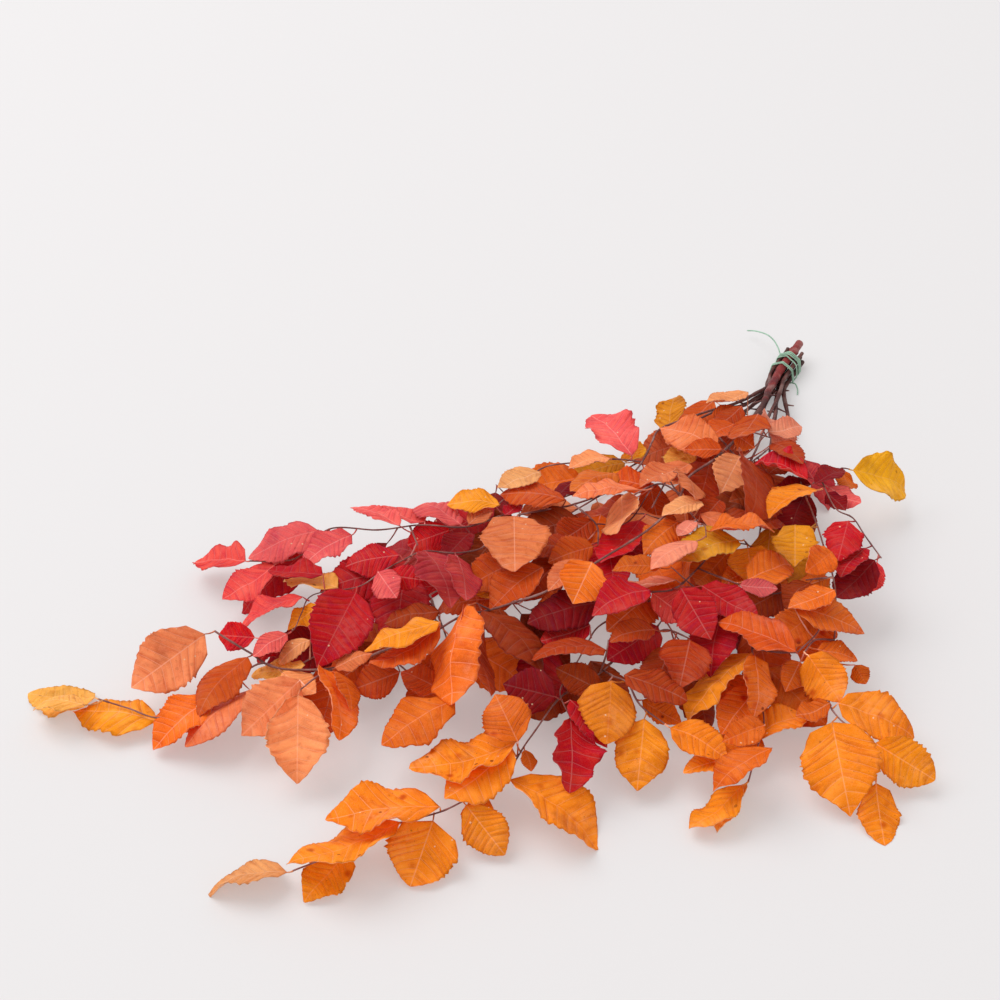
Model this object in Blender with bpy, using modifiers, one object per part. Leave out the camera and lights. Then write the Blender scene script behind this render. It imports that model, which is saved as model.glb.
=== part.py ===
# A tied bunch of cut beech branches in autumn colours, lying on a flat surface.
# Ten branches, each a woody stem with side twigs and leaves grown as one piece, and one garden wire round the stems.
# The stems run from the cut ends at the back right towards the front left, and the leaves heap up between.
import math
import random

import bmesh
import bpy
import numpy as np
from mathutils import Vector
from mathutils.bvhtree import BVHTree

MM = 0.001

# Driving sizes in millimetres
LEAF_THICK = 0.8
LEAF_SHAPE = 0.64  # width of a blade as a share of its length
LEAF_NARROWEST = 14.0
LEAF_ROUNDEST = 0.95  # the most that a blade's width may be of its length
LEAF_LONGEST = 88.0
CLEARANCE = 0.5  # room kept round each blade and twig of another branch
OWN_CLEARANCE = 0.1  # and between two blades of one branch
FLOOR_GAP = 0.3  # room kept under stems and twigs
PETIOLE_WIDE = 1.5
PETIOLE_LONG = 9.0
PETIOLE_REACH = 36.0  # a leaf further from its twig than this gets a twig of its own
TWIG_RADIUS = 0.9
FULL_RUN = 46.0  # a stem keeps its full thickness this far from its cut end
TAPER_RUN = 75.0
BARE_STEM = 100.0  # the stems have no leaves this near the tie
TWIG_STEP = 24.0
STEM_STEP = 32.0
HEAP_TOP = 66.0
HEAP_RIM = 8.0
WIRE_RADIUS = 0.75
WIRE_GAP = 0.4

# Plan of the heap seen from above: how far the leaves reach from the tie, by compass bearing
REACH_BEARINGS = (200.0, 208.0, 215.0, 233.0, 243.0, 253.0, 268.0, 276.0, 292.0)
REACH = (430.0, 600.0, 730.0, 735.0, 665.0, 575.0, 545.0, 490.0, 215.0)

# The bunch is laid out as seen by someone looking down on it, and each place is
# given as (across, down, lift): across and down in a square view of VIEW_WIDE
# units, and the lift in millimetres above or below the surface of the heap.
VIEW_WIDE = 1000.0
VIEW_DISTANCE = 2000.0  # from the eye to the picture plane, in view units
EYE_HEIGHT = 1040.0
EYE_PITCH = math.radians(40.0)
LAYOUT_CENTRE = (-7.6, 1147.3)

# The tie: where the wire holds the stems, and the way that the stems run there
TIE_VIEW = (787.0, 366.0)
TIE_HEIGHT = 9.0
STEM_BEARING = math.radians(242.0)
TIE_BEFORE = 14.0
TIE_AFTER = 24.0


def eye_ray(across, down):
    x = (across - VIEW_WIDE / 2) / VIEW_DISTANCE
    y = (VIEW_WIDE / 2 - down) / VIEW_DISTANCE
    forward = math.cos(EYE_PITCH) + y * math.sin(EYE_PITCH)
    upward = -math.sin(EYE_PITCH) + y * math.cos(EYE_PITCH)
    return Vector((x, forward, upward))


def spot(across, down, height):
    """The place at a given height that the view shows at (across, down)."""
    ray = eye_ray(across, down)
    place = ray * ((EYE_HEIGHT - height) / -ray.z)
    return Vector((place.x - LAYOUT_CENTRE[0], place.y - LAYOUT_CENTRE[1], height))


TIE = spot(TIE_VIEW[0], TIE_VIEW[1], TIE_HEIGHT)
ALONG = Vector((math.cos(STEM_BEARING), math.sin(STEM_BEARING), 0))
ASIDE = Vector((-ALONG.y, ALONG.x, 0))  # towards the right of the view
EYE = Vector((-LAYOUT_CENTRE[0], -LAYOUT_CENTRE[1], EYE_HEIGHT))


def bearing_of(place):
    return math.degrees(math.atan2(place.y - TIE.y, place.x - TIE.x)) % 360


def heap_share(place):
    """How far a place lies from the tie, as a share of the heap's reach that way."""
    reach = float(np.interp(bearing_of(place), REACH_BEARINGS, REACH))
    return min(math.hypot(place.x - TIE.x, place.y - TIE.y) / reach, 1.0)


def heap_height(place):
    """Height of the heap's upper surface over a place in plan."""
    share = heap_share(place)
    bearing = bearing_of(place)
    rise = math.sin(math.pi * share**1.12) ** 1.5
    side = math.sin(math.pi * min(max((bearing - 198) / 100, 0.0), 1.0)) ** 0.6
    near_tie = 8.0 * max(0.0, 1 - share * 4)
    return HEAP_RIM + near_tie + (HEAP_TOP - HEAP_RIM) * rise * side


def on_heap(across, down, lift):
    """The first place from above where the view ray is lift over the heap."""
    high = HEAP_TOP + 40.0
    step = 4.0
    while high > step:
        if heap_height(spot(across, down, high - step)) + lift > high - step:
            break
        high -= step
    low = max(high - step, 0.0)
    for _ in range(12):
        middle = (high + low) / 2
        if heap_height(spot(across, down, middle)) + lift > middle:
            low = middle
        else:
            high = middle
    return spot(across, down, max(low, LEAF_THICK / 2))


def smooth_path(points, step):
    """Points along a smooth curve through the given ones, about step apart."""
    ends = [points[0] * 2 - points[1]] + list(points) + [points[-1] * 2 - points[-2]]
    path = []
    for a, b, c, d in zip(ends, ends[1:], ends[2:], ends[3:]):
        count = max(1, round((c - b).length / step))
        for i in range(count):
            t = i / count
            path.append(
                (b * 2 + (c - a) * t + (a * 2 - b * 5 + c * 4 - d) * t**2 + (b * 3 - a - c * 3 + d) * t**3) / 2
            )
    path.append(points[-1].copy())
    return path


# Each branch: radius at the tie and at the thin end, its slot in the tied bundle as
# (aside, height), the stem's places, and its side twigs. A twig starts on the nearest
# wood that is there already.
STEMS = {
    "branch_coral": (
        (3.5, 1.15),
        (0.0, 15.6),
        [
            (764, 402, 3), (750, 423, 2), (733, 442, 0), (716, 458, 3), (690, 476, 4), (675, 506, 4),
            (650, 528, 4), (625, 545, 3), (605, 557, 1), (575, 575, -4), (545, 592, 1), (515, 602, 2),
            (490, 610, 1), (458, 618, -2), (425, 637, -5), (385, 650, -6), (335, 668, -4), (278, 668, 0),
            (250, 653, 2), (232, 642, 4), (215, 631, 6),
        ],
        [
            [(490, 610, 0), (476, 603, 8)],
            [(682, 495, 3), (660, 484, 2), (634, 494, 0)],
            [(335, 668, -4), (318, 676, 2), (300, 690, 6)],
            [(278, 668, 0), (258, 664, 2), (222, 690, 4)],
        ],
    ),
    "branch_red_middle": (
        (1.8, 1.1),
        (6.6, 13.5),
        [
            (782, 388, 2), (772, 408, -2), (760, 440, -12), (742, 480, -24), (722, 530, -26),
            (700, 566, -14), (676, 588, -4), (652, 592, -2),
        ],
        [
            [(676, 588, -6), (640, 606, -26), (602, 624, -28), (578, 660, -20), (560, 694, -4), (570, 718, -4)],
            [(700, 568, -12), (722, 578, -5), (740, 585, -2)],
            [(640, 606, -26), (615, 596, -16), (600, 600, -10)],
        ],
    ),
    "branch_orange_back": (
        (1.8, 1.1),
        (-6.6, 13.5),
        [
            (768, 384, 0), (738, 402, 0), (700, 414, 1), (662, 428, 2), (646, 455, 3), (636, 470, 0),
            (612, 490, -9), (575, 504, -9), (545, 510, -6), (518, 515, -2),
        ],
        [
            [(640, 462, 1), (612, 459, 1), (590, 462, 2), (545, 467, 2), (515, 490, 0), (496, 506, -1)],
            [(575, 504, -8), (596, 524, -10), (598, 545, -8)],
            [(518, 515, -4), (505, 560, -24), (504, 596, -14)],
        ],
    ),
    "branch_red_left": (
        (2.1, 1.0),
        (-5.2, 9.1),
        [
            (763, 391, -4), (743, 404, -3), (723, 408, -3), (698, 420, -12), (650, 455, -26), (600, 482, -28),
            (550, 502, -24), (500, 516, -14), (465, 527, -1), (420, 525, 2), (377, 530, 2), (329, 529, 2),
            (300, 556, 0), (280, 561, 1), (250, 561, 2),
        ],
        [
            [
                (500, 516, -14), (480, 549, 0), (455, 553, 1), (424, 551, 2), (380, 573, 3), (357, 587, 2),
                (313, 595, 0), (291, 632, 1), (262, 638, 2),
            ],
            [(410, 527, 1), (418, 545, 1)],
        ],
    ),
    "branch_amber_front": (
        (2.1, 1.0),
        (0.0, 9.1),
        [
            (768, 400, -6), (748, 440, -22), (722, 490, -42), (700, 540, -56), (676, 598, -56), (650, 634, -30),
            (625, 650, -26), (600, 673, -20), (560, 698, -12), (530, 738, -4), (503, 775, 3), (450, 808, 4),
            (400, 823, 4), (352, 845, 3), (320, 860, 2), (293, 871, 1),
        ],
        [
            [(604, 670, -20), (613, 676, -8), (628, 683, -2), (640, 705, -1), (665, 724, 0)],
            [(650, 634, -30), (668, 630, -16), (688, 638, -6)],
            [(600, 673, -20), (606, 655, -14), (608, 640, -8)],
        ],
    ),
    "branch_red_right": (
        (2.1, 0.9),
        (5.2, 9.1),
        [
            (780, 390, -3), (774, 415, -2), (770, 436, 0), (787, 444, 1), (800, 455, 3), (808, 468, 4), (820, 478, 4),
            (835, 508, 5), (853, 518, 5), (866, 537, 4), (881, 558, 4),
        ],
        [
            [(820, 478, 4), (832, 473, 5), (842, 468, 6), (849, 469, 6)],
            [(820, 478, 4), (812, 484, 2)],
        ],
    ),
    "branch_yellow": (
        (2.1, 1.0),
        (-7.8, 4.6),
        [
            (766, 392, -8), (740, 412, -9), (708, 430, -16), (672, 452, -34), (630, 480, -52), (570, 515, -60),
            (500, 555, -58), (430, 595, -48), (360, 632, -34), (305, 662, -26), (250, 692, -18), (205, 706, -8),
            (160, 718, -3), (128, 708, -3), (98, 699, -3),
        ],
        [
            [(430, 595, -48), (436, 620, -22), (440, 624, -8)],
            [(430, 595, -48), (450, 650, -30), (455, 698, -14)],
            [(360, 632, -34), (340, 610, -16), (325, 598, -6)],
            [(360, 632, -34), (430, 690, -24)],
        ],
    ),
    "branch_amber_low": (
        (2.1, 1.0),
        (2.6, 4.6),
        [
            (777, 402, -9), (770, 450, -24), (764, 500, -40), (758, 550, -46), (754, 600, -38), (752, 648, -14),
            (758, 690, -13), (764, 722, -7), (757, 750, -5), (748, 782, -4),
        ],
        [
            [(752, 648, -14), (775, 652, -5), (797, 653, 0)],
            [(770, 450, -26), (752, 462, -8)],
            [(758, 550, -46), (748, 545, -20), (744, 540, -6)],
        ],
    ),
    "branch_amber_right": (
        (2.1, 1.0),
        (7.8, 4.6),
        [
            (785, 398, -8), (789, 430, -11), (797, 465, -9), (803, 490, -2), (811, 510, 1), (818, 527, 1),
            (825, 551, -3), (833, 577, -6), (836, 600, -8), (834, 640, -12), (830, 680, -9), (829, 702, -1),
            (837, 716, 2), (850, 727, 3), (866, 738, 3), (870, 752, 3), (876, 780, 1),
        ],
        [
            [(833, 577, -6), (806, 580, -2)],
            [(834, 640, -12), (815, 640, -6), (804, 652, -1)],
        ],
    ),
    "branch_orange_top": (
        (2.1, 1.0),
        (-2.6, 4.6),
        [
            (772, 388, -8), (752, 408, -7), (735, 422, -6), (715, 432, -8), (690, 452, -8), (668, 478, -9),
            (652, 508, -10),
        ],
        [
            [(735, 420, -6), (752, 432, -3), (771, 435, 0)],
            [(668, 478, -9), (690, 512, -6), (700, 524, -2)],
            [(715, 432, -8), (735, 455, -4), (746, 460, 0)],
        ],
    ),
}

# Each leaf: (base across, base down, tip across, tip down, width across the view,
# lift of the base, lift of the tip), chosen one by one so that they lie as on the real bunch
LEAVES = {
    "branch_coral": [
        (205, 634, 131, 688, 62, 10, 6), (248, 657, 195, 715, 35, 4, 2), (215, 697, 153, 750, 40, 4, 1),
        (250, 690, 185, 747, 35, 2, 0), (300, 680, 242, 735, 55, 8, 6), (278, 670, 316, 692, 28, 6, 6),
        (298, 695, 297, 783, 62, 9, -8), (322, 668, 340, 740, 30, 4, 2), (337, 672, 352, 710, 18, 2, 0),
        (335, 668, 373, 655, 16, 0, 2), (400, 672, 352, 690, 35, -4, -6), (467, 605, 453, 706, 45, 10, 4),
        (475, 605, 497, 694, 22, 8, 4), (478, 607, 545, 668, 32, 10, 4), (470, 598, 513, 612, 20, 8, 6),
        (496, 606, 512, 652, 26, 2, 0), (440, 625, 370, 665, 24, 4, 2), (592, 562, 572, 605, 50, 8, 6),
        (582, 560, 548, 592, 26, 9, 7), (622, 496, 616, 532, 30, 4, 6), (624, 497, 670, 525, 25, 5, 6),
        (652, 488, 606, 480, 24, -2, -2),
    ],
    "branch_red_middle": [
        (556, 697, 503, 684, 45, 4, 6), (570, 718, 570, 793, 45, 2, -2), (570, 700, 607, 748, 24, -4, -6),
        (650, 590, 592, 612, 34, 8, 10), (676, 580, 608, 592, 18, 4, 6), (652, 593, 690, 622, 35, 8, 8),
        (681, 588, 710, 638, 45, 8, 6), (702, 586, 760, 618, 33, 4, 4), (740, 585, 778, 588, 18, 3, 3),
        (600, 602, 527, 622, 40, -8, -8), (590, 625, 540, 640, 30, -14, -14), (640, 520, 600, 560, 34, -6, -6),
    ],
    "branch_orange_back": [
        (514, 516, 515, 572, 68, 8, 10), (508, 513, 463, 545, 22, 2, 2), (566, 500, 500, 495, 24, 0, 2),
        (520, 514, 578, 508, 22, 3, 5), (540, 472, 497, 490, 22, 3, 3), (500, 505, 447, 505, 22, 2, 2),
        (618, 474, 570, 492, 24, 1, 2), (612, 472, 640, 490, 22, -3, -3), (640, 490, 572, 498, 14, 3, 4),
        (612, 459, 568, 469, 14, 3, 3), (626, 462, 640, 442, 18, -2, 2), (632, 456, 591, 414, 40, 4, 14),
        (598, 545, 548, 562, 34, -8, -8), (505, 598, 475, 575, 28, -10, -10), (592, 520, 556, 542, 32, -12, -12),
    ],
    "branch_red_left": [
        (319, 531, 249, 560, 35, 8, 4), (250, 561, 195, 563, 25, 4, 2), (279, 562, 221, 597, 30, 4, 0),
        (352, 535, 303, 565, 30, 4, 2), (323, 575, 268, 572, 18, 2, 0), (400, 555, 345, 565, 30, 4, 4),
        (378, 572, 396, 597, 32, 6, 6), (356, 592, 318, 665, 65, 8, 6), (388, 575, 423, 580, 26, 5, 5),
        (425, 551, 452, 607, 44, 6, 4), (457, 556, 465, 602, 30, 3, 2), (450, 530, 408, 545, 34, -2, 0),
        (470, 533, 444, 560, 26, -4, -4), (465, 527, 413, 503, 22, 4, 6), (465, 527, 492, 508, 18, 3, 6),
        (425, 522, 380, 505, 16, 5, 8), (400, 526, 350, 508, 16, 5, 8), (303, 597, 240, 625, 16, 3, 2),
        (260, 638, 219, 635, 30, 4, 3), (292, 631, 253, 657, 22, 3, 0), (282, 640, 258, 664, 18, -4, -6),
        (505, 515, 522, 500, 14, -4, -2), (556, 498, 578, 480, 16, -6, -2),
    ],
    "branch_amber_front": [
        (516, 742, 409, 769, 38, 6, 6), (512, 748, 445, 800, 45, 3, 2), (518, 742, 495, 694, 50, 4, 8),
        (523, 744, 530, 772, 14, 0, -4), (505, 776, 600, 849, 45, 6, -8), (462, 800, 505, 855, 45, 4, -6),
        (435, 815, 410, 887, 72, 4, -10), (440, 807, 325, 820, 40, 8, 12), (400, 822, 285, 860, 30, 3, 6),
        (352, 845, 303, 899, 45, 4, 2), (293, 871, 207, 892, 18, 0, -14), (611, 681, 606, 745, 60, 5, 2),
        (645, 713, 637, 791, 55, 3, -4), (624, 675, 688, 700, 30, 4, 3), (642, 700, 682, 722, 25, -5, -7),
        (665, 725, 728, 760, 35, 1, 0), (600, 690, 556, 668, 32, -14, -14), (606, 650, 532, 655, 18, -4, -2),
        (655, 630, 610, 640, 24, -6, -4), (690, 640, 680, 686, 68, 0, 2), (480, 790, 470, 840, 30, -6, -12),
    ],
    "branch_red_right": [
        (808, 480, 755, 460, 18, 4, 6), (816, 482, 798, 462, 18, 2, 6), (815, 484, 845, 470, 16, 3, 6),
        (824, 485, 861, 503, 22, 5, 4), (824, 490, 846, 509, 18, 2, 0), (848, 521, 838, 560, 40, 6, 4),
        (866, 548, 840, 575, 22, 2, 0), (875, 560, 835, 598, 40, 4, -2), (849, 469, 909, 488, 43, 6, 8),
        (842, 470, 852, 490, 18, 2, 0), (877, 562, 868, 592, 26, -2, -20),
    ],
    "branch_yellow": [
        (100, 698, 28, 692, 22, -3, -14), (84, 705, 32, 705, 14, -7, -14), (157, 721, 73, 713, 35, 2, -2),
        (338, 588, 283, 580, 18, 4, 4), (318, 605, 287, 628, 20, 0, 0), (310, 640, 278, 662, 18, -4, -6),
        (305, 665, 250, 672, 20, -8, -8), (380, 648, 345, 660, 22, -10, -10), (440, 622, 363, 648, 22, 2, 2),
        (440, 612, 384, 622, 24, -4, -4), (455, 700, 382, 747, 45, 2, 0), (425, 660, 352, 681, 24, -4, -4),
        (440, 690, 400, 670, 30, -12, -12), (200, 708, 176, 732, 24, -6, -8),
    ],
    "branch_amber_low": [
        (765, 725, 722, 742, 30, 2, 2), (745, 755, 683, 772, 28, 2, 2), (772, 748, 712, 790, 30, 4, 3),
        (742, 785, 688, 827, 28, 2, -2), (747, 783, 717, 833, 16, 0, -14), (750, 740, 812, 715, 28, 4, 6),
        (752, 653, 685, 720, 32, 3, 2), (755, 655, 757, 717, 32, 4, 2), (797, 652, 719, 620, 32, 5, 5),
        (800, 655, 785, 715, 20, 4, 2), (747, 459, 752, 520, 40, 2, 0), (768, 492, 730, 500, 26, -6, -6),
        (738, 540, 672, 565, 34, 0, 0), (748, 548, 752, 584, 44, 0, 0), (756, 568, 722, 584, 26, -8, -8),
        (660, 568, 612, 568, 20, -6, -6),
    ],
    "branch_amber_right": [
        (795, 525, 795, 563, 45, 3, 4), (832, 552, 806, 572, 32, 1, 1), (835, 577, 800, 585, 22, -2, -2),
        (812, 580, 786, 607, 24, -4, -4), (793, 605, 865, 633, 30, 3, 4), (835, 590, 788, 607, 16, 1, 1),
        (812, 648, 858, 660, 20, -2, -3), (808, 655, 840, 701, 47, 4, 5), (800, 662, 785, 692, 30, -6, -6),
        (830, 703, 796, 716, 22, 3, 4), (832, 722, 850, 814, 78, 3, -1), (838, 703, 917, 735, 45, 5, 5),
        (870, 740, 935, 780, 48, 5, 3), (876, 783, 886, 847, 40, 3, -14), (818, 490, 768, 515, 22, 1, 1),
        (812, 484, 776, 486, 16, 2, 3), (790, 462, 768, 474, 20, -4, -4), (788, 434, 784, 446, 10, 0, -2),
        (855, 665, 866, 684, 20, -6, -8),
    ],
    "branch_orange_top": [
        (668, 432, 676, 393, 28, -2, 14), (748, 392, 706, 400, 12, 2, 6), (712, 420, 736, 406, 16, -2, 6),
        (718, 449, 660, 428, 35, 5, 8), (722, 449, 684, 449, 20, 7, 7), (740, 456, 721, 493, 40, 6, 4),
        (738, 436, 752, 446, 24, 4, 5), (734, 424, 705, 440, 22, 4, 4), (736, 424, 760, 424, 14, 3, 5),
        (768, 432, 803, 423, 22, 3, 6), (773, 443, 803, 464, 20, 2, 2), (690, 464, 640, 480, 20, 4, 5),
        (680, 472, 695, 500, 14, 3, 3), (702, 502, 662, 517, 18, 3, 4), (700, 514, 757, 526, 16, 4, 5),
        (697, 541, 650, 567, 22, 5, 5), (697, 532, 688, 592, 16, 7, 5), (696, 522, 678, 537, 14, 4, 4),
        (678, 522, 645, 550, 35, 0, 0), (704, 532, 775, 527, 14, 3, 4), (690, 448, 668, 466, 26, -3, -3),
        (720, 500, 700, 520, 26, -6, -6), (758, 414, 734, 438, 26, 4, 4), (742, 406, 714, 428, 22, 3, 5),
        (768, 418, 780, 448, 22, 2, 0), (700, 424, 668, 446, 24, 0, 0),
    ],
}

# Leaves inside and behind the heap, placed by rule: how many to try on each branch
FILL_SEED = 7
FILL_REACH = 0.8  # share of the heap's reach that such leaves keep inside
FILL_BEARINGS = (212.0, 274.0)
FILL_TRIES = {
    "branch_coral": 4,
    "branch_red_middle": 4,
    "branch_orange_back": 4,
    "branch_red_left": 6,
    "branch_amber_front": 5,
    "branch_red_right": 3,
    "branch_yellow": 6,
    "branch_amber_low": 6,
    "branch_amber_right": 4,
    "branch_orange_top": 4,
}

# How a leaf that would cross another branch is bent clear: (lift, tip lift, roll in degrees)
BENDS = sorted(
    (
        (lift, droop, roll)
        for lift in (0, 3, -3, 6, -6, 10, -10, 14, -14, 19, -19, 25)
        for droop in (0, 5, -5, 11, -11)
        for roll in (0, 14, -14, 30, -30)
    ),
    key=lambda bend: (abs(bend[0]) + abs(bend[1]) + abs(bend[2]) / 3, bend),
)

COLOURS = {
    "branch_coral": (0.80, 0.20, 0.09),
    "branch_red_middle": (0.50, 0.02, 0.05),
    "branch_orange_back": (0.70, 0.18, 0.04),
    "branch_red_left": (0.55, 0.04, 0.07),
    "branch_amber_front": (0.78, 0.20, 0.01),
    "branch_red_right": (0.42, 0.02, 0.03),
    "branch_yellow": (0.82, 0.34, 0.02),
    "branch_amber_low": (0.74, 0.17, 0.01),
    "branch_amber_right": (0.76, 0.22, 0.02),
    "branch_orange_top": (0.66, 0.20, 0.05),
    "tie_wire": (0.25, 0.42, 0.28),
}


def blade_half_width(share, wide):
    return wide / 2 * max(math.sin(math.pi * min(share, 1.0) ** 0.9), 0.0) ** 0.72


class Leaf:
    """One leaf: where its petiole starts, its blade's axis, its width, and how it bows and waves."""

    def __init__(self, start, base, tip, wide, normal, seed, plain):
        draw = random.Random(seed)
        self.plain = plain
        self.start = start
        self.base = base
        self.tip = tip
        self.wide = wide
        self.axis = (tip - base).normalized()
        self.length = (tip - base).length
        self.normal = (normal - self.axis * normal.dot(self.axis)).normalized()
        self.side = self.normal.cross(self.axis)
        self.bow = draw.uniform(0.03, 0.10) * draw.choice((1, 1, -1))
        self.cup = draw.uniform(0.02, 0.24) * draw.choice((1, 1, -1))
        self.wave = draw.uniform(0.03, 0.06)
        self.phase = draw.uniform(0, 2 * math.pi)
        self.twist = draw.uniform(-0.35, 0.35)

    def place(self, share, across):
        """A point of the blade: share from base to tip, across from -1 to 1."""
        half = blade_half_width(share, self.wide)
        bowed = self.bow * self.length * math.sin(math.pi * share)
        folded = self.cup * half * abs(across) ** 1.5
        waved = self.wave * self.length * across * abs(across) * math.sin(2.4 * 2 * math.pi * share + self.phase)
        turned = self.twist * half * across * (share - 0.4)
        point = self.base + self.axis * (self.length * share) + self.side * (half * across)
        point += self.normal * (bowed + folded + waved + turned)
        point.z = max(point.z, LEAF_THICK / 2)
        return point


BLADE_ROWS = (0.2, 0.5, 0.8)
LARGE_BLADE_ROWS = (0.15, 0.38, 0.63, 0.86)
LARGE_BLADE = 70.0
PLAIN_ROWS = (0.22, 0.5, 0.8)
PLAIN_VIEW_WIDE = 23.0  # a listed leaf that shows less width than this has no fold along its middle


def leaf_surface(leaf):
    """The leaf's middle surface as points and triangles: first the petiole, then the blade to one point at the tip."""
    aside = leaf.side * (PETIOLE_WIDE / 2)
    shares = LARGE_BLADE_ROWS if leaf.length > LARGE_BLADE else BLADE_ROWS
    if leaf.plain:
        rows = [[leaf.base - aside, leaf.base + aside]]
        rows += [[leaf.place(share, -1.0), leaf.place(share, 1.0)] for share in PLAIN_ROWS]
    else:
        rows = [[leaf.base - aside, leaf.base, leaf.base + aside]]
        rows += [[leaf.place(share, across) for across in (-1.0, 0.0, 1.0)] for share in shares]
    points = [leaf.start - aside, leaf.start + aside] + [point for row in rows for point in row]
    points.append(leaf.place(1.0, 0.0))
    for point in points:
        point.z = max(point.z, LEAF_THICK / 2)
    if leaf.plain:
        faces = [(0, 1, 2), (1, 3, 2)]
        for a in range(2, 2 * len(rows), 2):
            faces.extend([(a, a + 1, a + 2), (a + 1, a + 3, a + 2)])
        return points, faces + [(2 * len(rows), 2 * len(rows) + 1, 2 * len(rows) + 2)]
    faces = [(0, 1, 3), (0, 3, 2), (1, 4, 3)]
    for a in range(2, 3 * len(rows) - 1, 3):
        faces.extend([(a, a + 1, a + 4), (a, a + 4, a + 3), (a + 1, a + 2, a + 4), (a + 2, a + 5, a + 4)])
    last = 3 * len(rows) - 1
    return points, faces + [(last, last + 1, last + 3), (last + 1, last + 2, last + 3)]


ROOT_FACES = 5  # the petiole and the foot of the blade, which may touch the branch's own wood


def thick_shape(points, faces, half):
    """The two faces of a blade at half on each side of its middle surface, for a clearance test."""
    normals = [Vector((0, 0, 0)) for _ in points]
    for face in faces:
        a, b, c = (points[i] for i in face)
        normal = (b - a).cross(c - a).normalized()
        for i in face:
            normals[i] += normal
    shifts = [normal.normalized() * half for normal in normals]
    count = len(points)
    both = [p + s for p, s in zip(points, shifts)] + [p - s for p, s in zip(points, shifts)]
    doubled = list(faces) + [tuple(i + count for i in face) for face in faces]
    edges = {}
    for face in faces:
        for i, j in zip(face, face[1:] + face[:1]):
            key = (min(i, j), max(i, j))
            edges[key] = edges.get(key, 0) + 1
    for (i, j), uses in edges.items():
        if uses == 1:
            doubled.append((i, j, j + count))
            doubled.append((i, j + count, i + count))
    return both, doubled


def tube_shape(path, radii, sides=5):
    """Rings and triangles of a tube, for a clearance test."""
    points = []
    faces = []
    for i, place in enumerate(path):
        ahead = path[min(i + 1, len(path) - 1)] - path[max(i - 1, 0)]
        across = ahead.cross(Vector((0, 0, 1))).normalized()
        upward = across.cross(ahead).normalized()
        for k in range(sides):
            angle = 2 * math.pi * k / sides
            points.append(place + (across * math.cos(angle) + upward * math.sin(angle)) * radii[i])
    for i in range(len(path) - 1):
        for k in range(sides):
            a = i * sides + k
            b = i * sides + (k + 1) % sides
            faces.append((a, b, b + sides))
            faces.append((a, b + sides, a + sides))
    return points, faces


class Standing:
    """The shapes laid so far of one branch, or of its wood alone."""

    def __init__(self):
        self.points = []
        self.faces = []
        self.tree = None

    def add(self, points, faces):
        base = len(self.points)
        self.points.extend(points)
        self.faces.extend(tuple(i + base for i in face) for face in faces)
        self.tree = BVHTree.FromPolygons(self.points, self.faces)

    def crossings(self, tree):
        return self.tree.overlap(tree) if self.tree else []


def meets(tree, others):
    return any(other.crossings(tree) for other in others)


def nearest_wood(wood, place):
    """The nearest point on the branch's wood, the way that the wood runs there, and its distance."""
    best = None
    for path in wood:
        for a, b in zip(path, path[1:]):
            run = b - a
            share = min(max((place - a).dot(run) / run.length_squared, 0.0), 1.0)
            point = a + run * share
            gap = (place - point).length
            if best is None or gap < best[2]:
                best = (point, run.normalized(), gap)
    return best


def wood_shape(points, step, thick, thin):
    """The smooth path through some places, and its radius at each point: it tapers soon after the tie."""
    path = smooth_path(points, step)
    radii = [thick]
    run = 0.0
    for a, b in zip(path, path[1:]):
        run += (b - a).length
        radii.append(thin + (thick - thin) * math.exp(-max(run - FULL_RUN, 0.0) / TAPER_RUN))
    return path, radii


SHIFTS = (3, -3, 6, -6, 9, -9, 13, -13, 18, -18, 24, -24)
NEIGHBOUR_SHARES = (0.0, 0.5, 1.0)  # how far the next places follow one that is moved
TEST_SIDES = 5


def bent_clear(points, held, step, thick, thin, others):
    """The wood through the places, with those after the held ones moved up or down until it clears other wood."""

    def crossed(places):
        path, radii = wood_shape(places, step, thick, thin)
        shape = tube_shape(path[held - 1 :], [radius + CLEARANCE for radius in radii[held - 1 :]])
        tree = BVHTree.FromPolygons(*shape)
        hits = [pair[1] for other in others for pair in other.crossings(tree)]
        return [path[held - 1 + hit // (2 * TEST_SIDES)] for hit in hits]

    points = [point.copy() for point in points]
    spots = crossed(points)
    while spots:
        nearest = sorted(range(held, len(points)), key=lambda k: (points[k] - spots[0]).length)[:3]
        best = None
        for near in nearest:
            for shift in SHIFTS:
                for follow in NEIGHBOUR_SHARES:
                    trial = [point.copy() for point in points]
                    for k, share in ((near - 1, follow), (near, 1.0), (near + 1, follow)):
                        if held <= k < len(points):
                            trial[k].z = max(trial[k].z + shift * share, thick + FLOOR_GAP)
                    found = crossed(trial)
                    key = (len(found), abs(shift), follow)
                    if best is None or key < best[0]:
                        best = (key, trial, found)
        if best[0][0] >= len(spots):
            break
        points = best[1]
        spots = best[2]
    return wood_shape(points, step, thick, thin)


def bundle_start(slot):
    """Three places of a stem in the tied bundle: its cut end, and either side of the wire."""
    aside, height = slot
    floor_place = Vector((TIE.x, TIE.y, 0)) + ASIDE * aside + Vector((0, 0, height))
    beyond = TIE_BEFORE + 4 + 10 * (height > 14)
    return [floor_place - ALONG * beyond, floor_place - ALONG * TIE_BEFORE * 0.5, floor_place + ALONG * TIE_AFTER]


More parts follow.
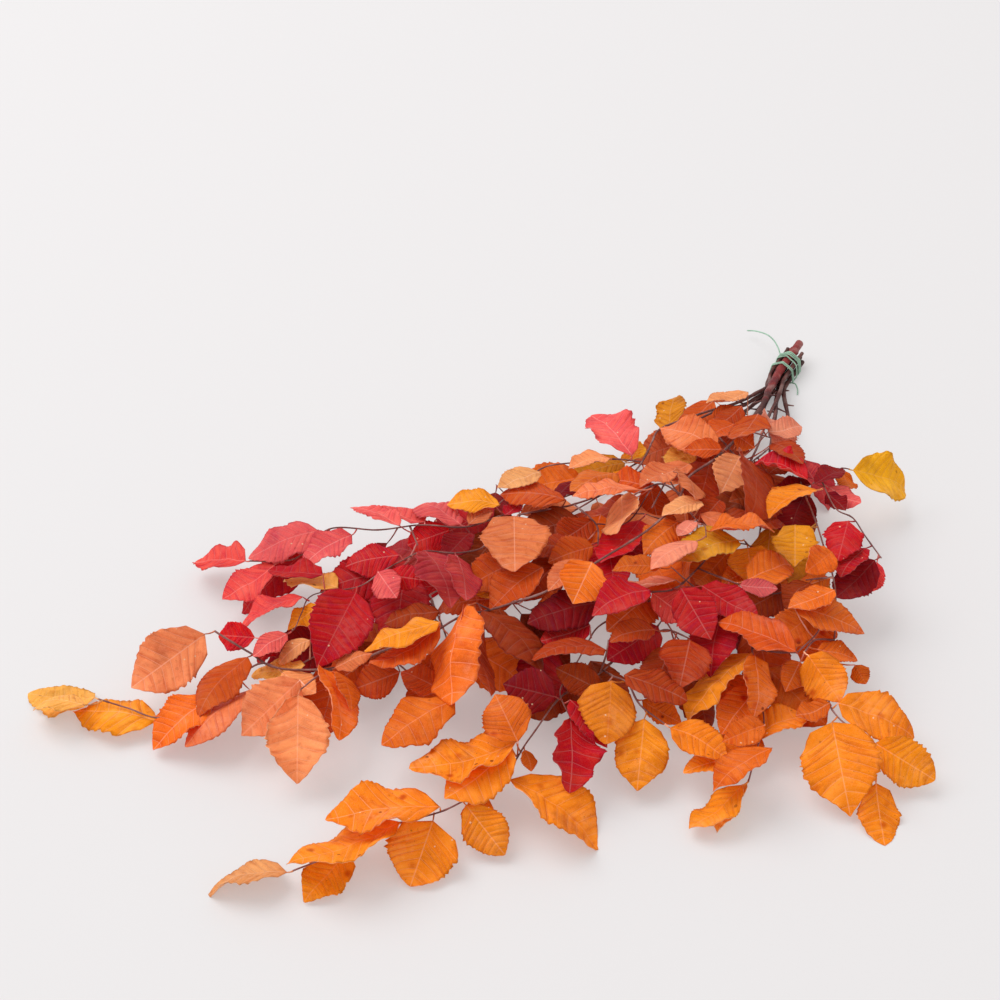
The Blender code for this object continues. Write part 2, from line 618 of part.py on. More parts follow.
def leaf_normal(base, tip, shown, roll):
    """The blade's normal: turned away from the eye until the blade shows only the given share of its width."""
    axis = (tip - base).normalized()
    to_eye = (EYE - base).normalized()
    facing = (to_eye - axis * to_eye.dot(axis)).normalized()
    beside = axis.cross(facing)
    angle = math.acos(min(max(shown, 0.12), 1.0))
    one = facing * math.cos(angle) + beside * math.sin(angle)
    two = facing * math.cos(angle) - beside * math.sin(angle)
    sign = 1 if one.z > two.z else -1
    angle = sign * angle + math.radians(roll)
    return facing * math.cos(angle) + beside * math.sin(angle)


def view_scale(place):
    """View units to a millimetre at a place."""
    away = place - EYE
    depth = away.y * math.cos(EYE_PITCH) - away.z * math.sin(EYE_PITCH)
    return VIEW_DISTANCE / depth


def laid_leaf(row, bend, wood, seed):
    """The leaf of a table row, bent as given, with its petiole on the nearest wood."""
    across0, down0, across1, down1, wide, lift0, lift1 = row
    lift, droop, roll = bend
    base = on_heap(across0, down0, lift0 + lift)
    tip = on_heap(across1, down1, lift1 + lift + droop)
    while (tip - base).length > LEAF_LONGEST and tip.z > 1.0:
        tip = spot(across1, down1, tip.z - 2.0)
    length = (tip - base).length
    seen = wide / view_scale((base + tip) / 2)
    true_wide = min(max(length * LEAF_SHAPE, seen, LEAF_NARROWEST), length * LEAF_ROUNDEST)
    normal = leaf_normal(base, tip, seen / true_wide, roll)
    return with_petiole(base, tip, true_wide, normal, wood, seed, wide < PLAIN_VIEW_WIDE)


def with_petiole(base, tip, wide, normal, wood, seed, plain):
    """A leaf and, where its wood is far, the twig that carries it."""
    start, run, gap = nearest_wood(wood, base)
    axis = (tip - base).normalized()
    twig = None
    if gap > PETIOLE_REACH:
        heel = base - axis * PETIOLE_LONG
        heel.z = max(heel.z, TWIG_RADIUS + FLOOR_GAP)
        start, run, gap = nearest_wood(wood, heel)
        twig = (start, run, heel)
        start = heel
    elif gap < 3.0:
        base = base + axis * 4.0
    return Leaf(start, base, tip, wide, normal, seed, plain), twig


TWIG_SAGS = (
    (0, 0), (-6, 0), (6, 0), (-12, 0), (0, 8), (0, -8), (-6, 10), (-6, -10), (12, 0), (-18, 0), (-12, 16), (-12, -16),
)


def twig_path(twig, sag):
    """A curved twig from the wood to a leaf's heel, sagging or swinging aside by the given amounts."""
    start, run, heel = twig
    span = heel - start
    across = Vector((-span.y, span.x, 0)).normalized()
    middle = (start + heel) / 2 + run * (span.length * 0.12)
    middle += Vector((0, 0, sag[0])) + across * sag[1]
    points = [start, middle, heel]
    for point in points[1:]:
        point.z = max(point.z, TWIG_RADIUS + FLOOR_GAP)
    beyond = heel + (heel - middle).normalized() * 1.5
    beyond.z = max(beyond.z, TWIG_RADIUS + FLOOR_GAP)
    return smooth_path(points[:2] + [beyond], TWIG_STEP)


def try_leaf(leaf, twig, others, own, own_wood):
    """The shapes of a leaf and its twig if they clear everything laid so far, or None."""
    points, faces = leaf_surface(leaf)
    tested = thick_shape(points, faces, LEAF_THICK / 2 + CLEARANCE)
    if meets(BVHTree.FromPolygons(*tested), others):
        return None
    blade = thick_shape(points, faces, LEAF_THICK / 2 + OWN_CLEARANCE)
    if own.crossings(BVHTree.FromPolygons(*blade)):
        return None
    outer = thick_shape(points, faces[ROOT_FACES:], LEAF_THICK / 2 + OWN_CLEARANCE)
    if own_wood.crossings(BVHTree.FromPolygons(*outer)):
        return None
    if twig is None:
        return points, faces, None
    for sag in TWIG_SAGS:
        path = twig_path(twig, sag)
        radii = [TWIG_RADIUS + CLEARANCE] * len(path)
        if not meets(BVHTree.FromPolygons(*tube_shape(path, radii)), others + [own]):
            return points, faces, path
    return None


def inside_heap(place):
    return heap_share(place) < FILL_REACH and FILL_BEARINGS[0] < bearing_of(place) < FILL_BEARINGS[1]


def fill_leaf(draw, wood):
    """A leaf somewhere along the branch's wood, inside the heap or on its far slope."""
    path = draw.choice(wood[:1] + wood)
    index = draw.randrange(min(4, len(path) - 2), len(path) - 1)
    run = path[index + 1] - path[index]
    start = path[index] + run * draw.random()
    bearing = math.atan2(run.y, run.x) + draw.uniform(0.3, 1.3) * draw.choice((1, -1))
    length = draw.uniform(46, 66)
    reach = PETIOLE_LONG + draw.uniform(0, 16)
    outward = Vector((math.cos(bearing), math.sin(bearing), 0))
    base = start + outward * reach
    tip = base + outward * length
    base.z = min(start.z + draw.uniform(-16, 2), heap_height(base) - 8)
    tip.z = min(base.z + draw.uniform(-40, 0), heap_height(tip) - 8)
    base.z = max(base.z, 1.0)
    tip.z = max(tip.z, 1.0)
    rough = Vector((draw.uniform(-0.5, 0.5), draw.uniform(-0.5, 0.5), 1))
    if (start - TIE).length < BARE_STEM or not (inside_heap(base) and inside_heap(tip)):
        return None
    return Leaf(start, base, tip, length * LEAF_SHAPE, rough, draw.random(), True)


def lay_wood(name, others):
    """The stem and side twigs of one branch: paths with radii."""
    (thick, thin), slot, route, twigs = STEMS[name]
    points = bundle_start(slot) + [on_heap(*place) for place in route]
    for point in points[3:]:
        point.z = max(point.z, thick + FLOOR_GAP)
    tubes = [bent_clear(points, 3, STEM_STEP, thick, thin, others)]
    for twig in twigs:
        places = [on_heap(*place) for place in twig]
        places[0] = nearest_wood([path for path, _ in tubes], places[0])[0]
        for point in places[1:]:
            point.z = max(point.z, TWIG_RADIUS + FLOOR_GAP)
        tubes.append(bent_clear(places, 1, TWIG_STEP, TWIG_RADIUS * 1.2, TWIG_RADIUS * 0.9, others))
    return tubes


def lay_leaves(name, tubes, others, own, own_wood):
    """The leaves of one branch, with the twigs that carry the far ones added to its wood."""
    wood = [path for path, _ in tubes]
    blades = []

    def keep(made):
        blades.append(made[:2])
        own.add(*thick_shape(made[0], made[1], LEAF_THICK / 2))
        if made[2]:
            wood.append(made[2])
            radii = [TWIG_RADIUS] * len(made[2])
            tubes.append((made[2], radii))
            own_wood.add(*tube_shape(made[2], radii))

    for index, row in enumerate(LEAVES[name]):
        for bend in BENDS:
            leaf, twig = laid_leaf(row, bend, wood, f"{name} {index}")
            made = try_leaf(leaf, twig, others, own, own_wood)
            if made:
                keep(made)
                break
    draw = random.Random(f"{FILL_SEED} {name}")
    grown = wood[: 1 + len(STEMS[name][3])]
    filled = 0
    for _ in range(FILL_TRIES[name] * 6):
        if filled == FILL_TRIES[name]:
            break
        leaf = fill_leaf(draw, grown)
        made = try_leaf(leaf, None, others, own, own_wood) if leaf else None
        if made:
            keep(made)
            filled += 1
    return blades


def laid_bunch():
    """The wood and the leaves of every branch, each clear of all the others."""
    wood = {}
    woods = {}
    for name in STEMS:
        wood[name] = lay_wood(name, list(woods.values()))
        woods[name] = Standing()
        for path, radii in wood[name]:
            woods[name].add(*tube_shape(path, radii))
    blades = {}
    leafy = {}
    for name in STEMS:
        others = [woods[other] for other in STEMS if other != name] + list(leafy.values())
        own = Standing()
        blades[name] = lay_leaves(name, wood[name], others, own, woods[name])
        leafy[name] = own
    return wood, blades


def new_object(name, mesh, collection):
    ob = bpy.data.objects.new(name, mesh)
    collection.objects.link(ob)
    return ob


def tube_object(name, path, radii, resolution, collection):
    """A closed tube mesh along a path, from a curve with a bevel."""
    curve = bpy.data.curves.new(name, "CURVE")
    curve.dimensions = "3D"
    curve.bevel_depth = 1.0 * MM
    curve.bevel_resolution = resolution
    curve.use_fill_caps = True
    spline = curve.splines.new("POLY")
    spline.points.add(len(path) - 1)
    for point, place, radius in zip(spline.points, path, radii):
        point.co = (*(place * MM), 1.0)
        point.radius = radius
    drawn = new_object(name + "_curve", curve, collection)
    bpy.context.view_layer.update()
    evaluated = drawn.evaluated_get(bpy.context.evaluated_depsgraph_get())
    mesh = bpy.data.meshes.new_from_object(evaluated)
    bm = bmesh.new()
    bm.from_mesh(mesh)
    bmesh.ops.remove_doubles(bm, verts=bm.verts, dist=0.00001)
    bmesh.ops.triangulate(bm, faces=bm.faces)
    bm.to_mesh(mesh)
    bm.free()
    matrix = drawn.matrix_world.copy()
    bpy.data.objects.remove(drawn)
    ob = new_object(name, mesh, collection)
    ob.matrix_world = matrix
    return ob


def leaf_object(name, points, faces, collection):
    """A leaf as an open surface with a thickness."""
    mesh = bpy.data.meshes.new(name)
    mesh.from_pydata([tuple(point * MM) for point in points], [], faces)
    ob = new_object(name, mesh, collection)
    shell = ob.modifiers.new("Thickness", "SOLIDIFY")
    shell.thickness = LEAF_THICK * MM
    shell.offset = 0.0
    return ob


FLAT_ENOUGH = math.radians(2.2)  # faces that differ by less are joined


def keep_one_body(mesh):
    """Keeps the largest closed body, and sets the lowest points on the ground."""
    bm = bmesh.new()
    bm.from_mesh(mesh)
    bmesh.ops.triangulate(bm, faces=bm.faces)
    unseen = set(bm.verts)
    groups = []
    while unseen:
        stack = [unseen.pop()]
        group = list(stack)
        while stack:
            for edge in stack.pop().link_edges:
                for vert in edge.verts:
                    if vert in unseen:
                        unseen.remove(vert)
                        stack.append(vert)
                        group.append(vert)
        groups.append(group)
    groups.sort(key=len)
    for group in groups[:-1]:
        bmesh.ops.delete(bm, geom=group, context="VERTS")
    bmesh.ops.dissolve_limit(bm, angle_limit=FLAT_ENOUGH, verts=bm.verts, edges=bm.edges)
    bmesh.ops.triangulate(bm, faces=bm.faces)
    for vert in bm.verts:
        if vert.co.z < 0.06 * MM:
            vert.co.z = 0.0
    bm.to_mesh(mesh)
    bm.free()


def material(name):
    made = bpy.data.materials.new(name)
    made.use_nodes = True
    shader = made.node_tree.nodes["Principled BSDF"]
    shader.inputs["Base Color"].default_value = (*COLOURS[name], 1.0)
    shader.inputs["Roughness"].default_value = 0.45 if name == "tie_wire" else 0.6
    shader.inputs["Metallic"].default_value = 0.0
    return made


def branch_object(name, tubes, blades, collection):
    """One branch: its stem, with twigs and leaves joined to it by one union."""
    pieces = bpy.data.collections.new(name + "_pieces")
    bpy.context.scene.collection.children.link(pieces)
    stem = None
    for index, (path, radii) in enumerate(tubes):
        home = collection if index == 0 else pieces
        ob = tube_object(f"{name}_{index}", path, radii, 1 if radii[0] > 3 else 0, home)
        if index == 0:
            stem = ob
    for index, (points, faces) in enumerate(blades):
        leaf_object(f"{name}_leaf_{index}", points, faces, pieces)
    stem.name = name
    stem.data.name = name
    union = stem.modifiers.new("Grown together", "BOOLEAN")
    union.operation = "UNION"
    union.solver = "MANIFOLD"
    union.operand_type = "COLLECTION"
    union.collection = pieces
    bpy.context.view_layer.update()
    evaluated = stem.evaluated_get(bpy.context.evaluated_depsgraph_get())
    mesh = bpy.data.meshes.new_from_object(evaluated)
    stem.modifiers.clear()
    stem.data = mesh
    for ob in list(pieces.objects):
        bpy.data.objects.remove(ob)
    bpy.data.collections.remove(pieces)
    keep_one_body(mesh)
    mesh.materials.clear()
    mesh.materials.append(material(name))


def bundle_outline(angle, gap):
    """The point of a band drawn tight round the bundled stems, facing a given angle."""
    facing = Vector((math.cos(angle), math.sin(angle)))
    best = None
    for (thick, _), slot, _, _ in STEMS.values():
        centre = Vector(slot)
        reach = centre.dot(facing) + thick
        if best is None or reach > best[0]:
            best = (reach, centre + facing * (thick + gap))
    return best[1]


# The wire's turns as (along the stems, turns made), and its free ends as (along, aside, height) from the tie
WIRE_TURNS = ((-6.0, 0.0), (-4.0, 1.0), (-1.9, 2.0), (0.3, 3.0), (11.0, 4.0), (13.6, 5.45))
WIRE_TURN_STEPS = 14
WIRE_TOP = math.radians(140.0)
WIRE_FREE_END = (
    (-36, -52, 7), (-33, -45, 11), (-27, -35, 16), (-20, -26, 20), (-14, -18, 20), (-9, -12.5, 18),
)
WIRE_TAIL = ((16, 14.5, 5), (19, 18, 2.4), (24, 20, 1.0))


def by_tie(along, aside, height):
    return Vector((TIE.x, TIE.y, 0)) + ALONG * along + ASIDE * aside + Vector((0, 0, height))


def wire_path():
    """The wire's middle line: turns drawn tight round the stems, one long free end and one short tail."""
    along, turns = zip(*WIRE_TURNS)
    steps = round(WIRE_TURN_STEPS * turns[-1])
    wound = []
    for i in range(steps + 1):
        turn = turns[-1] * i / steps
        flat = bundle_outline(WIRE_TOP - 2 * math.pi * turn, WIRE_RADIUS + WIRE_GAP)
        wound.append(by_tie(float(np.interp(turn, turns, along)), flat.x, flat.y))
    free_end = [by_tie(*place) for place in WIRE_FREE_END]
    tail = [by_tie(*place) for place in WIRE_TAIL]
    path = smooth_path(free_end + wound[:1], 6.0)[:-1] + wound + smooth_path(wound[-1:] + tail, 6.0)[1:]
    spaced = [path[0]]
    for place in path[1:]:
        if (place - spaced[-1]).length > WIRE_RADIUS:
            spaced.append(place)
    return spaced


def wire_object(collection):
    path = wire_path()
    ob = tube_object("tie_wire", path, [WIRE_RADIUS] * len(path), 0, collection)
    ob.data.materials.append(material("tie_wire"))


def build():
    for ob in list(bpy.data.objects):
        bpy.data.objects.remove(ob)
    collection = bpy.data.collections.new("autumn_beech_bunch")
    bpy.context.scene.collection.children.link(collection)
    wood, blades = laid_bunch()
    for name in STEMS:
        branch_object(name, wood[name], blades[name], collection)
    wire_object(collection)


build()
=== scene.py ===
# A tied bunch of cut beech branches in autumn colours: leaves, wood and wire with their finish, and a small studio.
# The branches are laid out by the same rule as the solid model's, so that each fine leaf lies where its solid is.
import functools
import math
import random

import bpy
import numpy as np
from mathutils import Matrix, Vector
from mathutils.bvhtree import BVHTree


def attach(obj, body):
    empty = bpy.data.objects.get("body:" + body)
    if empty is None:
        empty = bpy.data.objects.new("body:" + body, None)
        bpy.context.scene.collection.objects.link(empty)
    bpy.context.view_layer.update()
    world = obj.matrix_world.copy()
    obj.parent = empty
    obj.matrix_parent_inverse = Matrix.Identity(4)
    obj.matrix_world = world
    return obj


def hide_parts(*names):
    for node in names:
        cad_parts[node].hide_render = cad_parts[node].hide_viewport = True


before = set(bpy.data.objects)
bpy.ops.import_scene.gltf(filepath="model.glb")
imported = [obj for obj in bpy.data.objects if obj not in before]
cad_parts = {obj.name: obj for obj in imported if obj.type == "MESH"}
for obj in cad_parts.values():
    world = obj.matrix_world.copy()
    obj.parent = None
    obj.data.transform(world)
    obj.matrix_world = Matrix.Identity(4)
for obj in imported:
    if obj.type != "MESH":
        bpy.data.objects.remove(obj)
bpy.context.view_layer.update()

bl_info = {
    "name": "Tied autumn beech bunch",
    "version": (1, 0, 0),
    "blender": (4, 5, 0),
    "location": "View3D > Sidebar > Beech bunch",
    "description": "Leaves, wood and wire of a tied bunch of autumn beech branches",
    "category": "Object",
}

# Colours of dyed and dried beech leaves, as seen in soft daylight (red, green and blue from 0 to 255)
TONES = {
    "coral": (255, 166, 116),
    "salmon": (216, 122, 82),
    "blush": (224, 142, 116),
    "orange": (238, 122, 62),
    "tangerine": (246, 144, 28),
    "amber": (234, 130, 14),
    "burnt": (210, 96, 10),
    "honey": (234, 146, 46),
    "gold": (236, 166, 30),
    "straw": (240, 176, 96),
    "ochre": (208, 134, 42),
    "tan": (222, 154, 106),
    "rust": (200, 80, 28),
    "russet": (172, 60, 16),
    "brown": (146, 54, 18),
    "rose": (224, 88, 82),
    "pink": (218, 98, 96),
    "dusty": (178, 64, 66),
    "scarlet": (206, 24, 32),
    "crimson": (184, 28, 36),
    "maroon": (130, 10, 20),
}
# Painted shade: a leaf that lies below others is given a tone deeper than theirs, for the shade that falls on it
SHADED_TONES = {
    "coral": "orange",
    "salmon": "rust",
    "blush": "rust",
    "tan": "rust",
    "orange": "rust",
    "tangerine": "burnt",
    "amber": "burnt",
    "honey": "burnt",
    "gold": "ochre",
    "straw": "ochre",
    "rust": "russet",
    "russet": "brown",
    "rose": "crimson",
    "pink": "crimson",
    "dusty": "crimson",
    "scarlet": "crimson",
    "crimson": "maroon",
}
SPOTTED_TONES = ("amber", "tangerine", "burnt", "honey", "ochre", "gold", "straw")
RED_BARK = (138, 44, 42)
THICK_BARK = (94, 52, 46)
THIN_BARK = (140, 88, 82)
STALK = (196, 104, 84)
CUT_WOOD = (206, 170, 122)
FLOOR_GLOW_COLOUR = (1.0, 0.98, 0.975, 1.0)
SPOT = (116, 30, 16)
SPECK = (244, 214, 178)
COATING = (156, 196, 170)

MM = 0.001

# Driving sizes in millimetres
LEAF_THICK = 0.8
LEAF_SHAPE = 0.64  # width of a blade as a share of its length
LEAF_NARROWEST = 14.0
LEAF_ROUNDEST = 0.95  # the most that a blade's width may be of its length
LEAF_LONGEST = 88.0
CLEARANCE = 0.5  # room kept round each blade and twig of another branch
OWN_CLEARANCE = 0.1  # and between two blades of one branch
FLOOR_GAP = 0.3  # room kept under stems and twigs
LOWEST_LEAF = 1.0  # the lowest that an end of an inner leaf lies
PETIOLE_WIDE = 1.5
PETIOLE_LONG = 9.0
PETIOLE_REACH = 36.0  # a leaf further from its twig than this gets a twig of its own
TWIG_RADIUS = 0.9
FULL_RUN = 46.0  # a stem keeps its full thickness this far from its cut end
TAPER_RUN = 75.0
BARE_STEM = 100.0  # the stems have no leaves this near the tie
TWIG_STEP = 24.0
STEM_STEP = 32.0
HEAP_TOP = 66.0
HEAP_RIM = 8.0
WIRE_RADIUS = 0.75
WIRE_GAP = 0.4

# Plan of the heap seen from above: how far the leaves reach from the tie, by compass bearing
REACH_BEARINGS = (200.0, 208.0, 215.0, 233.0, 243.0, 253.0, 268.0, 276.0, 292.0)
REACH = (430.0, 600.0, 730.0, 735.0, 665.0, 575.0, 545.0, 490.0, 215.0)

# The bunch is laid out as seen by someone looking down on it, and each place is
# given as (across, down, lift): across and down in a square view of VIEW_WIDE
# units, and the lift in millimetres above or below the surface of the heap.
VIEW_WIDE = 1000.0
VIEW_DISTANCE = 2000.0  # from the eye to the picture plane, in view units
EYE_HEIGHT = 1040.0
EYE_PITCH = math.radians(40.0)
LAYOUT_CENTRE = (-7.6, 1147.3)

# The tie: where the wire holds the stems, and the way that the stems run there
TIE_VIEW = (787.0, 366.0)
TIE_HEIGHT = 9.0
STEM_BEARING = math.radians(242.0)
TIE_BEFORE = 14.0
TIE_AFTER = 24.0


def eye_ray(across, down):
    x = (across - VIEW_WIDE / 2) / VIEW_DISTANCE
    y = (VIEW_WIDE / 2 - down) / VIEW_DISTANCE
    forward = math.cos(EYE_PITCH) + y * math.sin(EYE_PITCH)
    upward = -math.sin(EYE_PITCH) + y * math.cos(EYE_PITCH)
    return Vector((x, forward, upward))


def spot(across, down, height):
    """The place at a given height that the view shows at (across, down)."""
    ray = eye_ray(across, down)
    place = ray * ((EYE_HEIGHT - height) / -ray.z)
    return Vector((place.x - LAYOUT_CENTRE[0], place.y - LAYOUT_CENTRE[1], height))


TIE = spot(TIE_VIEW[0], TIE_VIEW[1], TIE_HEIGHT)
ALONG = Vector((math.cos(STEM_BEARING), math.sin(STEM_BEARING), 0))
ASIDE = Vector((-ALONG.y, ALONG.x, 0))  # towards the right of the view
EYE = Vector((-LAYOUT_CENTRE[0], -LAYOUT_CENTRE[1], EYE_HEIGHT))


def bearing_of(place):
    return math.degrees(math.atan2(place.y - TIE.y, place.x - TIE.x)) % 360


def heap_share(place):
    """How far a place lies from the tie, as a share of the heap's reach that way."""
    reach = float(np.interp(bearing_of(place), REACH_BEARINGS, REACH))
    return min(math.hypot(place.x - TIE.x, place.y - TIE.y) / reach, 1.0)


def heap_height(place):
    """Height of the heap's upper surface over a place in plan."""
    share = heap_share(place)
    bearing = bearing_of(place)
    rise = math.sin(math.pi * share**1.12) ** 1.5
    side = math.sin(math.pi * min(max((bearing - 198) / 100, 0.0), 1.0)) ** 0.6
    near_tie = 8.0 * max(0.0, 1 - share * 4)
    return HEAP_RIM + near_tie + (HEAP_TOP - HEAP_RIM) * rise * side


SEARCH_FROM = HEAP_TOP + 40.0
SEARCH_STEP = 4.0
SEARCH_HALVINGS = 12


def on_heap(across, down, lift):
    """The first place from above where the view ray is lift over the heap."""
    high = SEARCH_FROM
    step = SEARCH_STEP
    while high > step:
        if heap_height(spot(across, down, high - step)) + lift > high - step:
            break
        high -= step
    low = max(high - step, 0.0)
    for _ in range(SEARCH_HALVINGS):
        middle = (high + low) / 2
        if heap_height(spot(across, down, middle)) + lift > middle:
            low = middle
        else:
            high = middle
    return spot(across, down, max(low, LEAF_THICK / 2))


def smooth_path(points, step):
    """Points along a smooth curve through the given ones, about step apart."""
    ends = [points[0] * 2 - points[1]] + list(points) + [points[-1] * 2 - points[-2]]
    path = []
    for a, b, c, d in zip(ends, ends[1:], ends[2:], ends[3:]):
        count = max(1, round((c - b).length / step))
        for i in range(count):
            t = i / count
            path.append(
                (b * 2 + (c - a) * t + (a * 2 - b * 5 + c * 4 - d) * t**2 + (b * 3 - a - c * 3 + d) * t**3) / 2
            )
    path.append(points[-1].copy())
    return path


# Each branch: radius at the tie and at the thin end, its slot in the tied bundle as
# (aside, height), the stem's places, and its side twigs. A twig starts on the nearest
# wood that is there already.
STEMS = {
    "branch_coral": (
        (3.5, 1.15),
        (0.0, 15.6),
        [
            (764, 402, 3), (750, 423, 2), (733, 442, 0), (716, 458, 3), (690, 476, 4), (675, 506, 4),
            (650, 528, 4), (625, 545, 3), (605, 557, 1), (575, 575, -4), (545, 592, 1), (515, 602, 2),
            (490, 610, 1), (458, 618, -2), (425, 637, -5), (385, 650, -6), (335, 668, -4), (278, 668, 0),
            (250, 653, 2), (232, 642, 4), (215, 631, 6),
        ],
        [
            [(490, 610, 0), (476, 603, 8)],
            [(682, 495, 3), (660, 484, 2), (634, 494, 0)],
            [(335, 668, -4), (318, 676, 2), (300, 690, 6)],
            [(278, 668, 0), (258, 664, 2), (222, 690, 4)],
        ],
    ),
    "branch_red_middle": (
        (1.8, 1.1),
        (6.6, 13.5),
        [
            (782, 388, 2), (772, 408, -2), (760, 440, -12), (742, 480, -24), (722, 530, -26),
            (700, 566, -14), (676, 588, -4), (652, 592, -2),
        ],
        [
            [(676, 588, -6), (640, 606, -26), (602, 624, -28), (578, 660, -20), (560, 694, -4), (570, 718, -4)],
            [(700, 568, -12), (722, 578, -5), (740, 585, -2)],
            [(640, 606, -26), (615, 596, -16), (600, 600, -10)],
        ],
    ),
    "branch_orange_back": (
        (1.8, 1.1),
        (-6.6, 13.5),
        [
            (768, 384, 0), (738, 402, 0), (700, 414, 1), (662, 428, 2), (646, 455, 3), (636, 470, 0),
            (612, 490, -9), (575, 504, -9), (545, 510, -6), (518, 515, -2),
        ],
        [
            [(640, 462, 1), (612, 459, 1), (590, 462, 2), (545, 467, 2), (515, 490, 0), (496, 506, -1)],
            [(575, 504, -8), (596, 524, -10), (598, 545, -8)],
            [(518, 515, -4), (505, 560, -24), (504, 596, -14)],
        ],
    ),
    "branch_red_left": (
        (2.1, 1.0),
        (-5.2, 9.1),
        [
            (763, 391, -4), (743, 404, -3), (723, 408, -3), (698, 420, -12), (650, 455, -26), (600, 482, -28),
            (550, 502, -24), (500, 516, -14), (465, 527, -1), (420, 525, 2), (377, 530, 2), (329, 529, 2),
            (300, 556, 0), (280, 561, 1), (250, 561, 2),
        ],
        [
            [
                (500, 516, -14), (480, 549, 0), (455, 553, 1), (424, 551, 2), (380, 573, 3), (357, 587, 2),
                (313, 595, 0), (291, 632, 1), (262, 638, 2),
            ],
            [(410, 527, 1), (418, 545, 1)],
        ],
    ),
    "branch_amber_front": (
        (2.1, 1.0),
        (0.0, 9.1),
        [
            (768, 400, -6), (748, 440, -22), (722, 490, -42), (700, 540, -56), (676, 598, -56), (650, 634, -30),
            (625, 650, -26), (600, 673, -20), (560, 698, -12), (530, 738, -4), (503, 775, 3), (450, 808, 4),
            (400, 823, 4), (352, 845, 3), (320, 860, 2), (293, 871, 1),
        ],
        [
            [(604, 670, -20), (613, 676, -8), (628, 683, -2), (640, 705, -1), (665, 724, 0)],
            [(650, 634, -30), (668, 630, -16), (688, 638, -6)],
            [(600, 673, -20), (606, 655, -14), (608, 640, -8)],
        ],
    ),
    "branch_red_right": (
        (2.1, 0.9),
        (5.2, 9.1),
        [
            (780, 390, -3), (774, 415, -2), (770, 436, 0), (787, 444, 1), (800, 455, 3), (808, 468, 4), (820, 478, 4),
            (835, 508, 5), (853, 518, 5), (866, 537, 4), (881, 558, 4),
        ],
        [
            [(820, 478, 4), (832, 473, 5), (842, 468, 6), (849, 469, 6)],
            [(820, 478, 4), (812, 484, 2)],
        ],
    ),
    "branch_yellow": (
        (2.1, 1.0),
        (-7.8, 4.6),
        [
            (766, 392, -8), (740, 412, -9), (708, 430, -16), (672, 452, -34), (630, 480, -52), (570, 515, -60),
            (500, 555, -58), (430, 595, -48), (360, 632, -34), (305, 662, -26), (250, 692, -18), (205, 706, -8),
            (160, 718, -3), (128, 708, -3), (98, 699, -3),
        ],
        [
            [(430, 595, -48), (436, 620, -22), (440, 624, -8)],
            [(430, 595, -48), (450, 650, -30), (455, 698, -14)],
            [(360, 632, -34), (340, 610, -16), (325, 598, -6)],
            [(360, 632, -34), (430, 690, -24)],
        ],
    ),
    "branch_amber_low": (
        (2.1, 1.0),
        (2.6, 4.6),
        [
            (777, 402, -9), (770, 450, -24), (764, 500, -40), (758, 550, -46), (754, 600, -38), (752, 648, -14),
            (758, 690, -13), (764, 722, -7), (757, 750, -5), (748, 782, -4),
        ],
        [
            [(752, 648, -14), (775, 652, -5), (797, 653, 0)],
            [(770, 450, -26), (752, 462, -8)],
            [(758, 550, -46), (748, 545, -20), (744, 540, -6)],
        ],
    ),
    "branch_amber_right": (
        (2.1, 1.0),
        (7.8, 4.6),
        [
            (785, 398, -8), (789, 430, -11), (797, 465, -9), (803, 490, -2), (811, 510, 1), (818, 527, 1),
            (825, 551, -3), (833, 577, -6), (836, 600, -8), (834, 640, -12), (830, 680, -9), (829, 702, -1),
            (837, 716, 2), (850, 727, 3), (866, 738, 3), (870, 752, 3), (876, 780, 1),
        ],
        [
            [(833, 577, -6), (806, 580, -2)],
            [(834, 640, -12), (815, 640, -6), (804, 652, -1)],
        ],
    ),
    "branch_orange_top": (
        (2.1, 1.0),
        (-2.6, 4.6),
        [
            (772, 388, -8), (752, 408, -7), (735, 422, -6), (715, 432, -8), (690, 452, -8), (668, 478, -9),
            (652, 508, -10),
        ],
        [
            [(735, 420, -6), (752, 432, -3), (771, 435, 0)],
            [(668, 478, -9), (690, 512, -6), (700, 524, -2)],
            [(715, 432, -8), (735, 455, -4), (746, 460, 0)],
        ],
    ),
}
